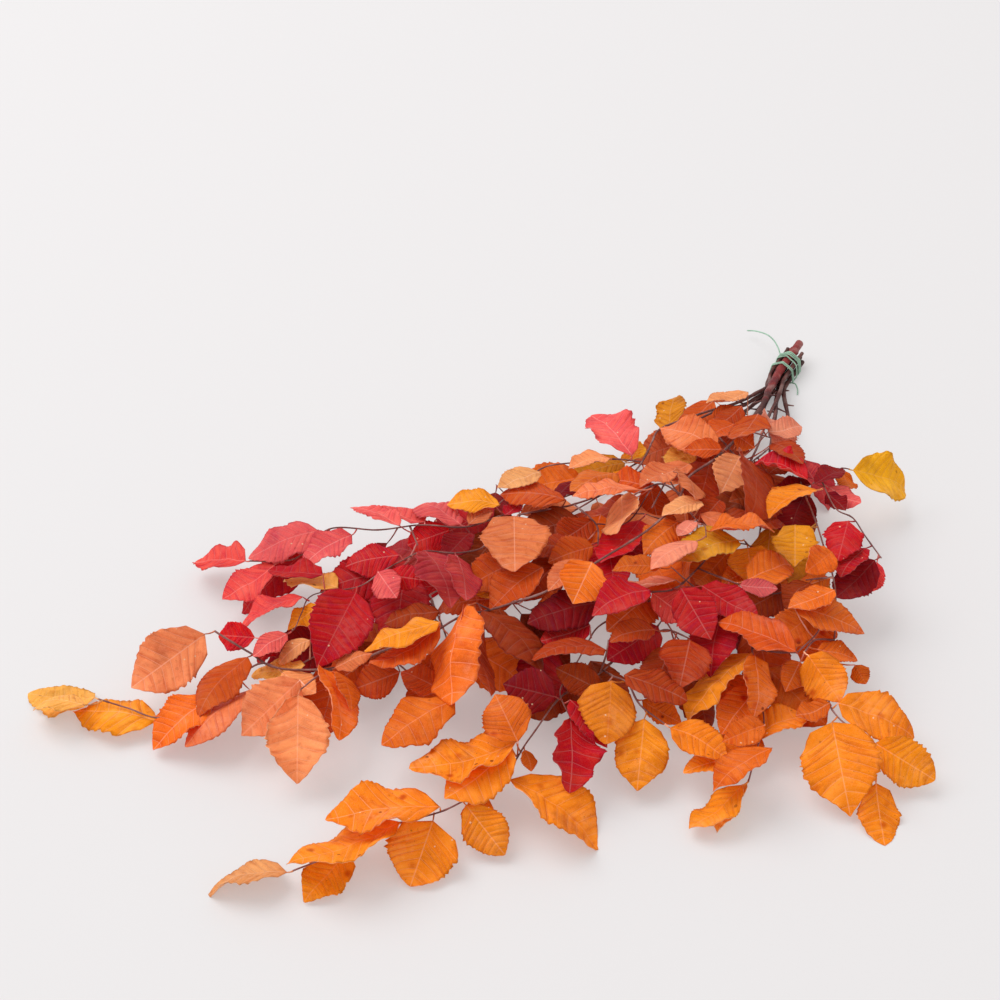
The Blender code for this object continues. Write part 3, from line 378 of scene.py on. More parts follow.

# Each leaf: (base across, base down, tip across, tip down, width across the view,
# lift of the base, lift of the tip, tone), chosen one by one so that they lie as on the real bunch
# Painted shade: some leaves that lie low in the heap's shade have a tone darker than their own colour, such as the
# brown ones with lifts below zero
LEAVES = {
    "branch_coral": [
        (205, 634, 131, 688, 62, 10, 6, "coral"), (248, 657, 195, 715, 35, 4, 2, "rust"),
        (215, 697, 153, 750, 40, 4, 1, "orange"), (250, 690, 185, 747, 35, 2, 0, "salmon"),
        (300, 680, 242, 735, 55, 8, 6, "coral"), (278, 670, 316, 692, 28, 6, 6, "coral"),
        (298, 695, 297, 783, 62, 9, -8, "coral"), (322, 668, 340, 740, 30, 4, 2, "orange"),
        (337, 672, 352, 710, 18, 2, 0, "burnt"), (335, 668, 373, 655, 16, 0, 2, "salmon"),
        (400, 672, 352, 690, 35, -4, -6, "russet"), (467, 605, 453, 706, 45, 10, 4, "orange"),
        (475, 605, 497, 694, 22, 8, 4, "rust"), (478, 607, 545, 668, 32, 10, 4, "brown"),
        (470, 598, 513, 612, 20, 8, 6, "tan"), (496, 606, 512, 652, 26, 2, 0, "brown"),
        (440, 625, 370, 665, 24, 4, 2, "rust"), (592, 562, 572, 605, 50, 8, 6, "orange"),
        (582, 560, 548, 592, 26, 9, 7, "salmon"), (622, 496, 616, 532, 30, 4, 6, "coral"),
        (624, 497, 670, 525, 25, 5, 6, "salmon"), (652, 488, 606, 480, 24, -2, -2, "rust"),
    ],
    "branch_red_middle": [
        (556, 697, 503, 684, 45, 4, 6, "maroon"), (570, 718, 570, 793, 45, 2, -2, "crimson"),
        (570, 700, 607, 748, 24, -4, -6, "crimson"), (650, 590, 592, 612, 34, 8, 10, "crimson"),
        (676, 580, 608, 592, 18, 4, 6, "blush"), (652, 593, 690, 622, 35, 8, 8, "rose"),
        (681, 588, 710, 638, 45, 8, 6, "crimson"), (702, 586, 760, 618, 33, 4, 4, "crimson"),
        (740, 585, 778, 588, 18, 3, 3, "pink"), (600, 602, 527, 622, 40, -8, -8, "maroon"),
        (590, 625, 540, 640, 30, -14, -14, "crimson"), (640, 520, 600, 560, 34, -6, -6, "scarlet"),
    ],
    "branch_orange_back": [
        (514, 516, 515, 572, 68, 8, 10, "salmon"), (508, 513, 463, 545, 22, 2, 2, "brown"),
        (566, 500, 500, 495, 24, 0, 2, "rust"), (520, 514, 578, 508, 22, 3, 5, "salmon"),
        (540, 472, 497, 490, 22, 3, 3, "tan"), (500, 505, 447, 505, 22, 2, 2, "honey"),
        (618, 474, 570, 492, 24, 1, 2, "burnt"), (612, 472, 640, 490, 22, -3, -3, "honey"),
        (640, 490, 572, 498, 14, 3, 4, "salmon"), (612, 459, 568, 469, 14, 3, 3, "coral"),
        (626, 462, 640, 442, 18, -2, 2, "gold"), (632, 456, 591, 414, 40, 4, 14, "pink"),
        (598, 545, 548, 562, 34, -8, -8, "rust"), (505, 598, 475, 575, 28, -10, -10, "amber"),
        (592, 520, 556, 542, 32, -12, -12, "russet"),
    ],
    "branch_red_left": [
        (319, 531, 249, 560, 35, 8, 4, "pink"), (250, 561, 195, 563, 25, 4, 2, "rose"),
        (279, 562, 221, 597, 30, 4, 0, "rose"), (352, 535, 303, 565, 30, 4, 2, "pink"),
        (323, 575, 268, 572, 18, 2, 0, "crimson"), (400, 555, 345, 565, 30, 4, 4, "crimson"),
        (378, 572, 396, 597, 32, 6, 6, "pink"), (356, 592, 318, 665, 65, 8, 6, "crimson"),
        (388, 575, 423, 580, 26, 5, 5, "scarlet"), (425, 551, 452, 607, 44, 6, 4, "dusty"),
        (457, 556, 465, 602, 30, 3, 2, "dusty"), (450, 530, 408, 545, 34, -2, 0, "scarlet"),
        (470, 533, 444, 560, 26, -4, -4, "maroon"), (465, 527, 413, 503, 22, 4, 6, "pink"),
        (465, 527, 492, 508, 18, 3, 6, "salmon"), (425, 522, 380, 505, 16, 5, 8, "pink"),
        (400, 526, 350, 508, 16, 5, 8, "pink"), (303, 597, 240, 625, 16, 3, 2, "rose"),
        (260, 638, 219, 635, 30, 4, 3, "scarlet"), (292, 631, 253, 657, 22, 3, 0, "pink"),
        (282, 640, 258, 664, 18, -4, -6, "crimson"), (505, 515, 522, 500, 14, -4, -2, "crimson"),
        (556, 498, 578, 480, 16, -6, -2, "maroon"),
    ],
    "branch_amber_front": [
        (516, 742, 409, 769, 38, 6, 6, "amber"), (512, 748, 445, 800, 45, 3, 2, "amber"),
        (518, 742, 495, 694, 50, 4, 8, "burnt"), (523, 744, 530, 772, 14, 0, -4, "burnt"),
        (505, 776, 600, 849, 45, 6, -8, "amber"), (462, 800, 505, 855, 45, 4, -6, "amber"),
        (435, 815, 410, 887, 72, 4, -10, "amber"), (440, 807, 325, 820, 40, 8, 12, "amber"),
        (400, 822, 285, 860, 30, 3, 6, "tangerine"), (352, 845, 303, 899, 45, 4, 2, "tangerine"),
        (293, 871, 207, 892, 18, 0, -14, "tan"), (611, 681, 606, 745, 60, 5, 2, "amber"),
        (645, 713, 637, 791, 55, 3, -4, "tangerine"), (624, 675, 688, 700, 30, 4, 3, "russet"),
        (642, 700, 682, 722, 25, -5, -7, "burnt"), (665, 725, 728, 760, 35, 1, 0, "amber"),
        (600, 690, 556, 668, 32, -14, -14, "brown"), (606, 650, 532, 655, 18, -4, -2, "russet"),
        (655, 630, 610, 640, 24, -6, -4, "russet"), (690, 640, 680, 686, 68, 0, 2, "russet"),
        (480, 790, 470, 840, 30, -6, -12, "amber"),
    ],
    "branch_red_right": [
        (808, 480, 755, 460, 18, 4, 6, "scarlet"), (816, 482, 798, 462, 18, 2, 6, "dusty"),
        (815, 484, 845, 470, 16, 3, 6, "maroon"), (824, 485, 861, 503, 22, 5, 4, "pink"),
        (824, 490, 846, 509, 18, 2, 0, "maroon"), (848, 521, 838, 560, 40, 6, 4, "crimson"),
        (866, 548, 840, 575, 22, 2, 0, "crimson"), (875, 560, 835, 598, 40, 4, -2, "maroon"),
        (849, 469, 909, 488, 43, 6, 8, "gold"), (842, 470, 852, 490, 18, 2, 0, "burnt"),
        (877, 562, 868, 592, 26, -2, -20, "rose"),
    ],
    "branch_yellow": [
        (100, 698, 28, 692, 22, -3, -14, "straw"), (84, 705, 32, 705, 14, -7, -14, "straw"),
        (157, 721, 73, 713, 35, 2, -2, "honey"), (338, 588, 283, 580, 18, 4, 4, "straw"),
        (318, 605, 287, 628, 20, 0, 0, "honey"), (310, 640, 278, 662, 18, -4, -6, "tan"),
        (305, 665, 250, 672, 20, -8, -8, "straw"), (380, 648, 345, 660, 22, -10, -10, "brown"),
        (440, 622, 363, 648, 22, 2, 2, "honey"), (440, 612, 384, 622, 24, -4, -4, "brown"),
        (455, 700, 382, 747, 45, 2, 0, "burnt"), (425, 660, 352, 681, 24, -4, -4, "gold"),
        (440, 690, 400, 670, 30, -12, -12, "rust"), (200, 708, 176, 732, 24, -6, -8, "burnt"),
    ],
    "branch_amber_low": [
        (765, 725, 722, 742, 30, 2, 2, "burnt"), (745, 755, 683, 772, 28, 2, 2, "amber"),
        (772, 748, 712, 790, 30, 4, 3, "burnt"), (742, 785, 688, 827, 28, 2, -2, "tangerine"),
        (747, 783, 717, 833, 16, 0, -14, "straw"), (750, 740, 812, 715, 28, 4, 6, "amber"),
        (752, 653, 685, 720, 32, 3, 2, "amber"), (755, 655, 757, 717, 32, 4, 2, "burnt"),
        (797, 652, 719, 620, 32, 5, 5, "rust"), (800, 655, 785, 715, 20, 4, 2, "amber"),
        (747, 459, 752, 520, 40, 2, 0, "russet"), (768, 492, 730, 500, 26, -6, -6, "brown"),
        (738, 540, 672, 565, 34, 0, 0, "ochre"), (748, 548, 752, 584, 44, 0, 0, "honey"),
        (756, 568, 722, 584, 26, -8, -8, "orange"), (660, 568, 612, 568, 20, -6, -6, "burnt"),
    ],
    "branch_amber_right": [
        (795, 525, 795, 563, 45, 3, 4, "ochre"), (832, 552, 806, 572, 32, 1, 1, "burnt"),
        (835, 577, 800, 585, 22, -2, -2, "burnt"), (812, 580, 786, 607, 24, -4, -4, "brown"),
        (793, 605, 865, 633, 30, 3, 4, "burnt"), (835, 590, 788, 607, 16, 1, 1, "burnt"),
        (812, 648, 858, 660, 20, -2, -3, "burnt"), (808, 655, 840, 701, 47, 4, 5, "amber"),
        (800, 662, 785, 692, 30, -6, -6, "burnt"), (830, 703, 796, 716, 22, 3, 4, "burnt"),
        (832, 722, 850, 814, 78, 3, -1, "amber"), (838, 703, 917, 735, 45, 5, 5, "amber"),
        (870, 740, 935, 780, 48, 5, 3, "tangerine"), (876, 783, 886, 847, 40, 3, -14, "tangerine"),
        (818, 490, 768, 515, 22, 1, 1, "tangerine"), (812, 484, 776, 486, 16, 2, 3, "maroon"),
        (790, 462, 768, 474, 20, -4, -4, "russet"), (788, 434, 784, 446, 10, 0, -2, "gold"),
        (855, 665, 866, 684, 20, -6, -8, "burnt"),
    ],
    "branch_orange_top": [
        (668, 432, 676, 393, 28, -2, 14, "ochre"), (748, 392, 706, 400, 12, 2, 6, "tan"),
        (712, 420, 736, 406, 16, -2, 6, "rust"), (718, 449, 660, 428, 35, 5, 8, "salmon"),
        (722, 449, 684, 449, 20, 7, 7, "rust"), (740, 456, 721, 493, 40, 6, 4, "coral"),
        (738, 436, 752, 446, 24, 4, 5, "orange"), (734, 424, 705, 440, 22, 4, 4, "rust"),
        (736, 424, 760, 424, 14, 3, 5, "coral"), (768, 432, 803, 423, 22, 3, 6, "blush"),
        (773, 443, 803, 464, 20, 2, 2, "russet"), (690, 464, 640, 480, 20, 4, 5, "salmon"),
        (680, 472, 695, 500, 14, 3, 3, "salmon"), (702, 502, 662, 517, 18, 3, 4, "tan"),
        (700, 514, 757, 526, 16, 4, 5, "salmon"), (697, 541, 650, 567, 22, 5, 5, "blush"),
        (697, 532, 688, 592, 16, 7, 5, "orange"), (696, 522, 678, 537, 14, 4, 4, "blush"),
        (678, 522, 645, 550, 35, 0, 0, "burnt"), (704, 532, 775, 527, 14, 3, 4, "burnt"),
        (690, 448, 668, 466, 26, -3, -3, "straw"), (720, 500, 700, 520, 26, -6, -6, "russet"),
        (758, 414, 734, 438, 26, 4, 4, "rust"), (742, 406, 714, 428, 22, 3, 5, "russet"),
        (768, 418, 780, 448, 22, 2, 0, "blush"), (700, 424, 668, 446, 24, 0, 0, "salmon"),
    ],
}

# Leaves inside and behind the heap, placed by rule: how many to try on each branch
FILL_SEED = 7
FILL_REACH = 0.8  # share of the heap's reach that such leaves keep inside
FILL_BEARINGS = (212.0, 274.0)
FILL_TRIES = {
    "branch_coral": 4,
    "branch_red_middle": 4,
    "branch_orange_back": 4,
    "branch_red_left": 6,
    "branch_amber_front": 5,
    "branch_red_right": 3,
    "branch_yellow": 6,
    "branch_amber_low": 6,
    "branch_amber_right": 4,
    "branch_orange_top": 4,
}

# How a leaf that would cross another branch is bent clear: (lift, tip lift, roll in degrees)
BENDS = sorted(
    (
        (lift, droop, roll)
        for lift in (0, 3, -3, 6, -6, 10, -10, 14, -14, 19, -19, 25)
        for droop in (0, 5, -5, 11, -11)
        for roll in (0, 14, -14, 30, -30)
    ),
    key=lambda bend: (abs(bend[0]) + abs(bend[1]) + abs(bend[2]) / 3, bend),
)


def blade_half_width(share, wide):
    return wide / 2 * max(math.sin(math.pi * min(share, 1.0) ** 0.9), 0.0) ** 0.72


class Leaf:
    """One leaf: where its petiole starts, its blade's axis, its width, and how it bows and waves."""

    def __init__(self, start, base, tip, wide, normal, seed, plain):
        draw = random.Random(seed)
        self.plain = plain
        self.start = start
        self.base = base
        self.tip = tip
        self.wide = wide
        self.axis = (tip - base).normalized()
        self.length = (tip - base).length
        self.normal = (normal - self.axis * normal.dot(self.axis)).normalized()
        self.side = self.normal.cross(self.axis)
        self.bow = draw.uniform(0.03, 0.10) * draw.choice((1, 1, -1))
        self.cup = draw.uniform(0.02, 0.24) * draw.choice((1, 1, -1))
        self.wave = draw.uniform(0.03, 0.06)
        self.phase = draw.uniform(0, 2 * math.pi)
        self.twist = draw.uniform(-0.35, 0.35)

    def place(self, share, across):
        """A point of the blade: share from base to tip, across from -1 to 1."""
        half = blade_half_width(share, self.wide)
        bowed = self.bow * self.length * math.sin(math.pi * share)
        folded = self.cup * half * abs(across) ** 1.5
        waved = self.wave * self.length * across * abs(across) * math.sin(2.4 * 2 * math.pi * share + self.phase)
        turned = self.twist * half * across * (share - 0.4)
        point = self.base + self.axis * (self.length * share) + self.side * (half * across)
        point += self.normal * (bowed + folded + waved + turned)
        point.z = max(point.z, LEAF_THICK / 2)
        return point


BLADE_ROWS = (0.2, 0.5, 0.8)
LARGE_BLADE_ROWS = (0.15, 0.38, 0.63, 0.86)
LARGE_BLADE = 70.0
PLAIN_ROWS = (0.22, 0.5, 0.8)
PLAIN_VIEW_WIDE = 23.0  # a listed leaf that shows less width than this has no fold along its middle


def leaf_surface(leaf):
    """The leaf's middle surface as points and triangles: the petiole, then the blade to one point at the tip."""
    aside = leaf.side * (PETIOLE_WIDE / 2)
    shares = LARGE_BLADE_ROWS if leaf.length > LARGE_BLADE else BLADE_ROWS
    if leaf.plain:
        rows = [[leaf.base - aside, leaf.base + aside]]
        rows += [[leaf.place(share, -1.0), leaf.place(share, 1.0)] for share in PLAIN_ROWS]
    else:
        rows = [[leaf.base - aside, leaf.base, leaf.base + aside]]
        rows += [[leaf.place(share, across) for across in (-1.0, 0.0, 1.0)] for share in shares]
    points = [leaf.start - aside, leaf.start + aside] + [point for row in rows for point in row]
    points.append(leaf.place(1.0, 0.0))
    for point in points:
        point.z = max(point.z, LEAF_THICK / 2)
    if leaf.plain:
        faces = [(0, 1, 2), (1, 3, 2)]
        for a in range(2, 2 * len(rows), 2):
            faces.extend([(a, a + 1, a + 2), (a + 1, a + 3, a + 2)])
        return points, faces + [(2 * len(rows), 2 * len(rows) + 1, 2 * len(rows) + 2)]
    faces = [(0, 1, 3), (0, 3, 2), (1, 4, 3)]
    for a in range(2, 3 * len(rows) - 1, 3):
        faces.extend([(a, a + 1, a + 4), (a, a + 4, a + 3), (a + 1, a + 2, a + 4), (a + 2, a + 5, a + 4)])
    last = 3 * len(rows) - 1
    return points, faces + [(last, last + 1, last + 3), (last + 1, last + 2, last + 3)]


ROOT_FACES = 5  # the petiole and the foot of the blade, which may touch the branch's own wood


def thick_shape(points, faces, half):
    """The two faces of a blade at half on each side of its middle surface, for a clearance test."""
    normals = [Vector((0, 0, 0)) for _ in points]
    for face in faces:
        a, b, c = (points[i] for i in face)
        normal = (b - a).cross(c - a).normalized()
        for i in face:
            normals[i] += normal
    shifts = [normal.normalized() * half for normal in normals]
    count = len(points)
    both = [p + s for p, s in zip(points, shifts)] + [p - s for p, s in zip(points, shifts)]
    doubled = list(faces) + [tuple(i + count for i in face) for face in faces]
    edges = {}
    for face in faces:
        for i, j in zip(face, face[1:] + face[:1]):
            key = (min(i, j), max(i, j))
            edges[key] = edges.get(key, 0) + 1
    for (i, j), uses in edges.items():
        if uses == 1:
            doubled.append((i, j, j + count))
            doubled.append((i, j + count, i + count))
    return both, doubled


TEST_SIDES = 5  # sides of a tube in a clearance test


def tube_shape(path, radii, sides=TEST_SIDES):
    """Rings and triangles of a tube, for a clearance test."""
    points = []
    faces = []
    for i, place in enumerate(path):
        ahead = path[min(i + 1, len(path) - 1)] - path[max(i - 1, 0)]
        across = ahead.cross(Vector((0, 0, 1))).normalized()
        upward = across.cross(ahead).normalized()
        for k in range(sides):
            angle = 2 * math.pi * k / sides
            points.append(place + (across * math.cos(angle) + upward * math.sin(angle)) * radii[i])
    for i in range(len(path) - 1):
        for k in range(sides):
            a = i * sides + k
            b = i * sides + (k + 1) % sides
            faces.append((a, b, b + sides))
            faces.append((a, b + sides, a + sides))
    return points, faces


class Standing:
    """The shapes laid so far of one branch, or of its wood alone."""

    def __init__(self):
        self.points = []
        self.faces = []
        self.tree = None

    def add(self, points, faces):
        base = len(self.points)
        self.points.extend(points)
        self.faces.extend(tuple(i + base for i in face) for face in faces)
        self.tree = BVHTree.FromPolygons(self.points, self.faces)

    def crossings(self, tree):
        return self.tree.overlap(tree) if self.tree else []


def meets(tree, others):
    return any(other.crossings(tree) for other in others)


def nearest_wood(wood, place):
    """The nearest point on the branch's wood, the way that the wood runs there, and its distance."""
    best = None
    for path in wood:
        for a, b in zip(path, path[1:]):
            run = b - a
            share = min(max((place - a).dot(run) / run.length_squared, 0.0), 1.0)
            point = a + run * share
            gap = (place - point).length
            if best is None or gap < best[2]:
                best = (point, run.normalized(), gap)
    return best


def wood_shape(points, step, thick, thin):
    """The smooth path through some places, and its radius at each point: it tapers soon after the tie."""
    path = smooth_path(points, step)
    radii = [thick]
    run = 0.0
    for a, b in zip(path, path[1:]):
        run += (b - a).length
        radii.append(thin + (thick - thin) * math.exp(-max(run - FULL_RUN, 0.0) / TAPER_RUN))
    return path, radii


SHIFTS = (3, -3, 6, -6, 9, -9, 13, -13, 18, -18, 24, -24)
NEIGHBOUR_SHARES = (0.0, 0.5, 1.0)  # how far the next places follow one that is moved


def bent_clear(points, held, step, thick, thin, others):
    """The wood through the places, with those after the held ones moved up or down until it clears other wood."""

    def crossed(places):
        path, radii = wood_shape(places, step, thick, thin)
        shape = tube_shape(path[held - 1 :], [radius + CLEARANCE for radius in radii[held - 1 :]])
        tree = BVHTree.FromPolygons(*shape)
        hits = [pair[1] for other in others for pair in other.crossings(tree)]
        return [path[held - 1 + hit // (2 * TEST_SIDES)] for hit in hits]

    points = [point.copy() for point in points]
    spots = crossed(points)
    while spots:
        nearest = sorted(range(held, len(points)), key=lambda k: (points[k] - spots[0]).length)[:3]
        best = None
        for near in nearest:
            for shift in SHIFTS:
                for follow in NEIGHBOUR_SHARES:
                    trial = [point.copy() for point in points]
                    for k, share in ((near - 1, follow), (near, 1.0), (near + 1, follow)):
                        if held <= k < len(points):
                            trial[k].z = max(trial[k].z + shift * share, thick + FLOOR_GAP)
                    found = crossed(trial)
                    key = (len(found), abs(shift), follow)
                    if best is None or key < best[0]:
                        best = (key, trial, found)
        if best[0][0] >= len(spots):
            break
        points = best[1]
        spots = best[2]
    return wood_shape(points, step, thick, thin)


def bundle_start(slot):
    """Three places of a stem in the tied bundle: its cut end, and either side of the wire."""
    aside, height = slot
    floor_place = Vector((TIE.x, TIE.y, 0)) + ASIDE * aside + Vector((0, 0, height))
    beyond = TIE_BEFORE + 4 + 10 * (height > 14)
    return [floor_place - ALONG * beyond, floor_place - ALONG * TIE_BEFORE * 0.5, floor_place + ALONG * TIE_AFTER]


def leaf_normal(base, tip, shown, roll):
    """The blade's normal: turned away from the eye until the blade shows only the given share of its width."""
    axis = (tip - base).normalized()
    to_eye = (EYE - base).normalized()
    facing = (to_eye - axis * to_eye.dot(axis)).normalized()
    beside = axis.cross(facing)
    angle = math.acos(min(max(shown, 0.12), 1.0))
    one = facing * math.cos(angle) + beside * math.sin(angle)
    two = facing * math.cos(angle) - beside * math.sin(angle)
    sign = 1 if one.z > two.z else -1
    angle = sign * angle + math.radians(roll)
    return facing * math.cos(angle) + beside * math.sin(angle)


def view_depth(away):
    """How far a place lies from the eye along the middle line of the view."""
    return away.y * math.cos(EYE_PITCH) - away.z * math.sin(EYE_PITCH)


def view_scale(place):
    """View units to a millimetre at a place."""
    return VIEW_DISTANCE / view_depth(place - EYE)


def laid_leaf(row, bend, wood, seed):
    """The leaf of a table row, bent as given, with its petiole on the nearest wood."""
    across0, down0, across1, down1, wide, lift0, lift1 = row
    lift, droop, roll = bend
    base = on_heap(across0, down0, lift0 + lift)
    tip = on_heap(across1, down1, lift1 + lift + droop)
    while (tip - base).length > LEAF_LONGEST and tip.z > 1.0:
        tip = spot(across1, down1, tip.z - 2.0)
    length = (tip - base).length
    seen = wide / view_scale((base + tip) / 2)
    true_wide = min(max(length * LEAF_SHAPE, seen, LEAF_NARROWEST), length * LEAF_ROUNDEST)
    normal = leaf_normal(base, tip, seen / true_wide, roll)
    return with_petiole(base, tip, true_wide, normal, wood, seed, wide < PLAIN_VIEW_WIDE)


def with_petiole(base, tip, wide, normal, wood, seed, plain):
    """A leaf and, where its wood is far, the twig that carries it."""
    start, run, gap = nearest_wood(wood, base)
    axis = (tip - base).normalized()
    twig = None
    if gap > PETIOLE_REACH:
        heel = base - axis * PETIOLE_LONG
        heel.z = max(heel.z, TWIG_RADIUS + FLOOR_GAP)
        start, run, gap = nearest_wood(wood, heel)
        twig = (start, run, heel)
        start = heel
    elif gap < 3.0:
        base = base + axis * 4.0
    return Leaf(start, base, tip, wide, normal, seed, plain), twig


TWIG_SAGS = (
    (0, 0), (-6, 0), (6, 0), (-12, 0), (0, 8), (0, -8), (-6, 10), (-6, -10), (12, 0), (-18, 0), (-12, 16), (-12, -16),
)


def twig_path(twig, sag):
    """A curved twig from the wood to a leaf's heel, sagging or swinging aside by the given amounts."""
    start, run, heel = twig
    span = heel - start
    across = Vector((-span.y, span.x, 0)).normalized()
    middle = (start + heel) / 2 + run * (span.length * 0.12)
    middle += Vector((0, 0, sag[0])) + across * sag[1]
    points = [start, middle, heel]
    for point in points[1:]:
        point.z = max(point.z, TWIG_RADIUS + FLOOR_GAP)
    beyond = heel + (heel - middle).normalized() * 1.5
    beyond.z = max(beyond.z, TWIG_RADIUS + FLOOR_GAP)
    return smooth_path(points[:2] + [beyond], TWIG_STEP)


def try_leaf(leaf, twig, others, own, own_wood):
    """The shapes of a leaf and its twig if they clear everything laid so far, or None."""
    points, faces = leaf_surface(leaf)
    tested = thick_shape(points, faces, LEAF_THICK / 2 + CLEARANCE)
    if meets(BVHTree.FromPolygons(*tested), others):
        return None
    blade = thick_shape(points, faces, LEAF_THICK / 2 + OWN_CLEARANCE)
    if own.crossings(BVHTree.FromPolygons(*blade)):
        return None
    outer = thick_shape(points, faces[ROOT_FACES:], LEAF_THICK / 2 + OWN_CLEARANCE)
    if own_wood.crossings(BVHTree.FromPolygons(*outer)):
        return None
    if twig is None:
        return points, faces, None
    for sag in TWIG_SAGS:
        path = twig_path(twig, sag)
        radii = [TWIG_RADIUS + CLEARANCE] * len(path)
        if not meets(BVHTree.FromPolygons(*tube_shape(path, radii)), others + [own]):
            return points, faces, path
    return None


def inside_heap(place):
    return heap_share(place) < FILL_REACH and FILL_BEARINGS[0] < bearing_of(place) < FILL_BEARINGS[1]


FILL_LENGTHS = (46, 66)
FILL_STALKS = (0, 16)  # how much longer than PETIOLE_LONG its petiole is
FILL_TURNS = (0.3, 1.3)  # how far its blade turns off the wood's way, in radians
FILL_SINKS = (-16, 2)  # the blade's foot over or under the wood
FILL_DROPS = (-40, 0)  # and its tip under its foot
FILL_DEPTH = 8  # how far it stays below the heap's surface


def fill_leaf(draw, wood):
    """A leaf somewhere along the branch's wood, inside the heap or on its far slope."""
    path = draw.choice(wood[:1] + wood)
    index = draw.randrange(min(4, len(path) - 2), len(path) - 1)
    run = path[index + 1] - path[index]
    start = path[index] + run * draw.random()
    bearing = math.atan2(run.y, run.x) + draw.uniform(*FILL_TURNS) * draw.choice((1, -1))
    length = draw.uniform(*FILL_LENGTHS)
    reach = PETIOLE_LONG + draw.uniform(*FILL_STALKS)
    outward = Vector((math.cos(bearing), math.sin(bearing), 0))
    base = start + outward * reach
    tip = base + outward * length
    base.z = min(start.z + draw.uniform(*FILL_SINKS), heap_height(base) - FILL_DEPTH)
    tip.z = min(base.z + draw.uniform(*FILL_DROPS), heap_height(tip) - FILL_DEPTH)
    base.z = max(base.z, LOWEST_LEAF)
    tip.z = max(tip.z, LOWEST_LEAF)
    rough = Vector((draw.uniform(-0.5, 0.5), draw.uniform(-0.5, 0.5), 1))
    if (start - TIE).length < BARE_STEM or not (inside_heap(base) and inside_heap(tip)):
        return None
    return Leaf(start, base, tip, length * LEAF_SHAPE, rough, draw.random(), True)


def lay_wood(name, others):
    """The stem and side twigs of one branch: paths with radii."""
    (thick, thin), slot, route, twigs = STEMS[name]
    points = bundle_start(slot) + [on_heap(*place) for place in route]
    for point in points[3:]:
        point.z = max(point.z, thick + FLOOR_GAP)
    tubes = [bent_clear(points, 3, STEM_STEP, thick, thin, others)]
    for twig in twigs:
        places = [on_heap(*place) for place in twig]
        places[0] = nearest_wood([path for path, _ in tubes], places[0])[0]
        for point in places[1:]:
            point.z = max(point.z, TWIG_RADIUS + FLOOR_GAP)
        tubes.append(bent_clear(places, 1, TWIG_STEP, TWIG_RADIUS * 1.2, TWIG_RADIUS * 0.9, others))
    return tubes


def lay_leaves(name, tubes, others, own, own_wood):
    """The leaves of one branch, with the twigs that carry the far ones added to its wood."""
    wood = [path for path, _ in tubes]
    blades = []

    def keep(made, leaf, tone, listed):
        blades.append((leaf, tone, listed))
        own.add(*thick_shape(made[0], made[1], LEAF_THICK / 2))
        if made[2]:
            wood.append(made[2])
            radii = [TWIG_RADIUS] * len(made[2])
            tubes.append((made[2], radii))
            own_wood.add(*tube_shape(made[2], radii))

    for index, row in enumerate(LEAVES[name]):
        for bend in BENDS:
            leaf, twig = laid_leaf(row[:-1], bend, wood, f"{name} {index}")
            made = try_leaf(leaf, twig, others, own, own_wood)
            if made:
                keep(made, leaf, row[-1], True)
                break
    draw = random.Random(f"{FILL_SEED} {name}")
    grown = wood[: 1 + len(STEMS[name][3])]
    tones = random.Random(f"tones {name}")
    filled = 0
    for _ in range(FILL_TRIES[name] * 6):
        if filled == FILL_TRIES[name]:
            break
        leaf = fill_leaf(draw, grown)
        made = try_leaf(leaf, None, others, own, own_wood) if leaf else None
        if made:
            keep(made, leaf, shaded_inner_tone(tones, leaf.base), False)
            filled += 1
    return blades


def laid_bunch():
    """The wood and the leaves of every branch, each clear of all the others."""
    wood = {}
    woods = {}
    for name in STEMS:
        wood[name] = lay_wood(name, list(woods.values()))
        woods[name] = Standing()
        for path, radii in wood[name]:
            woods[name].add(*tube_shape(path, radii))
    blades = {}
    leafy = {}
    for name in STEMS:
        others = [woods[other] for other in STEMS if other != name] + list(leafy.values())
        own = Standing()
        blades[name] = lay_leaves(name, wood[name], others, own, woods[name])
        leafy[name] = own
    return wood, woods, blades, leafy


def bundle_outline(angle, gap):
    """The point of a band drawn tight round the bundled stems, facing a given angle."""
    facing = Vector((math.cos(angle), math.sin(angle)))
    best = None
    for (thick, _), slot, _, _ in STEMS.values():
        centre = Vector(slot)
        reach = centre.dot(facing) + thick
        if best is None or reach > best[0]:
            best = (reach, centre + facing * (thick + gap))
    return best[1]


# The wire's turns as (along the stems, turns made), and its free ends as (along, aside, height) from the tie
WIRE_TURNS = ((-6.0, 0.0), (-4.0, 1.0), (-1.9, 2.0), (0.3, 3.0), (11.0, 4.0), (13.6, 5.45))
WIRE_TURN_STEPS = 14
WIRE_END_STEP = 6.0
WIRE_FINE_STEP = 1.0
WIRE_TOP = math.radians(140.0)
WIRE_FREE_END = (
    (-36, -52, 7), (-33, -45, 11), (-27, -35, 16), (-20, -26, 20), (-14, -18, 20), (-9, -12.5, 18),
)
WIRE_TAIL = ((16, 14.5, 5), (19, 18, 2.4), (24, 20, 1.0))


def by_tie(along, aside, height):
    return Vector((TIE.x, TIE.y, 0)) + ALONG * along + ASIDE * aside + Vector((0, 0, height))


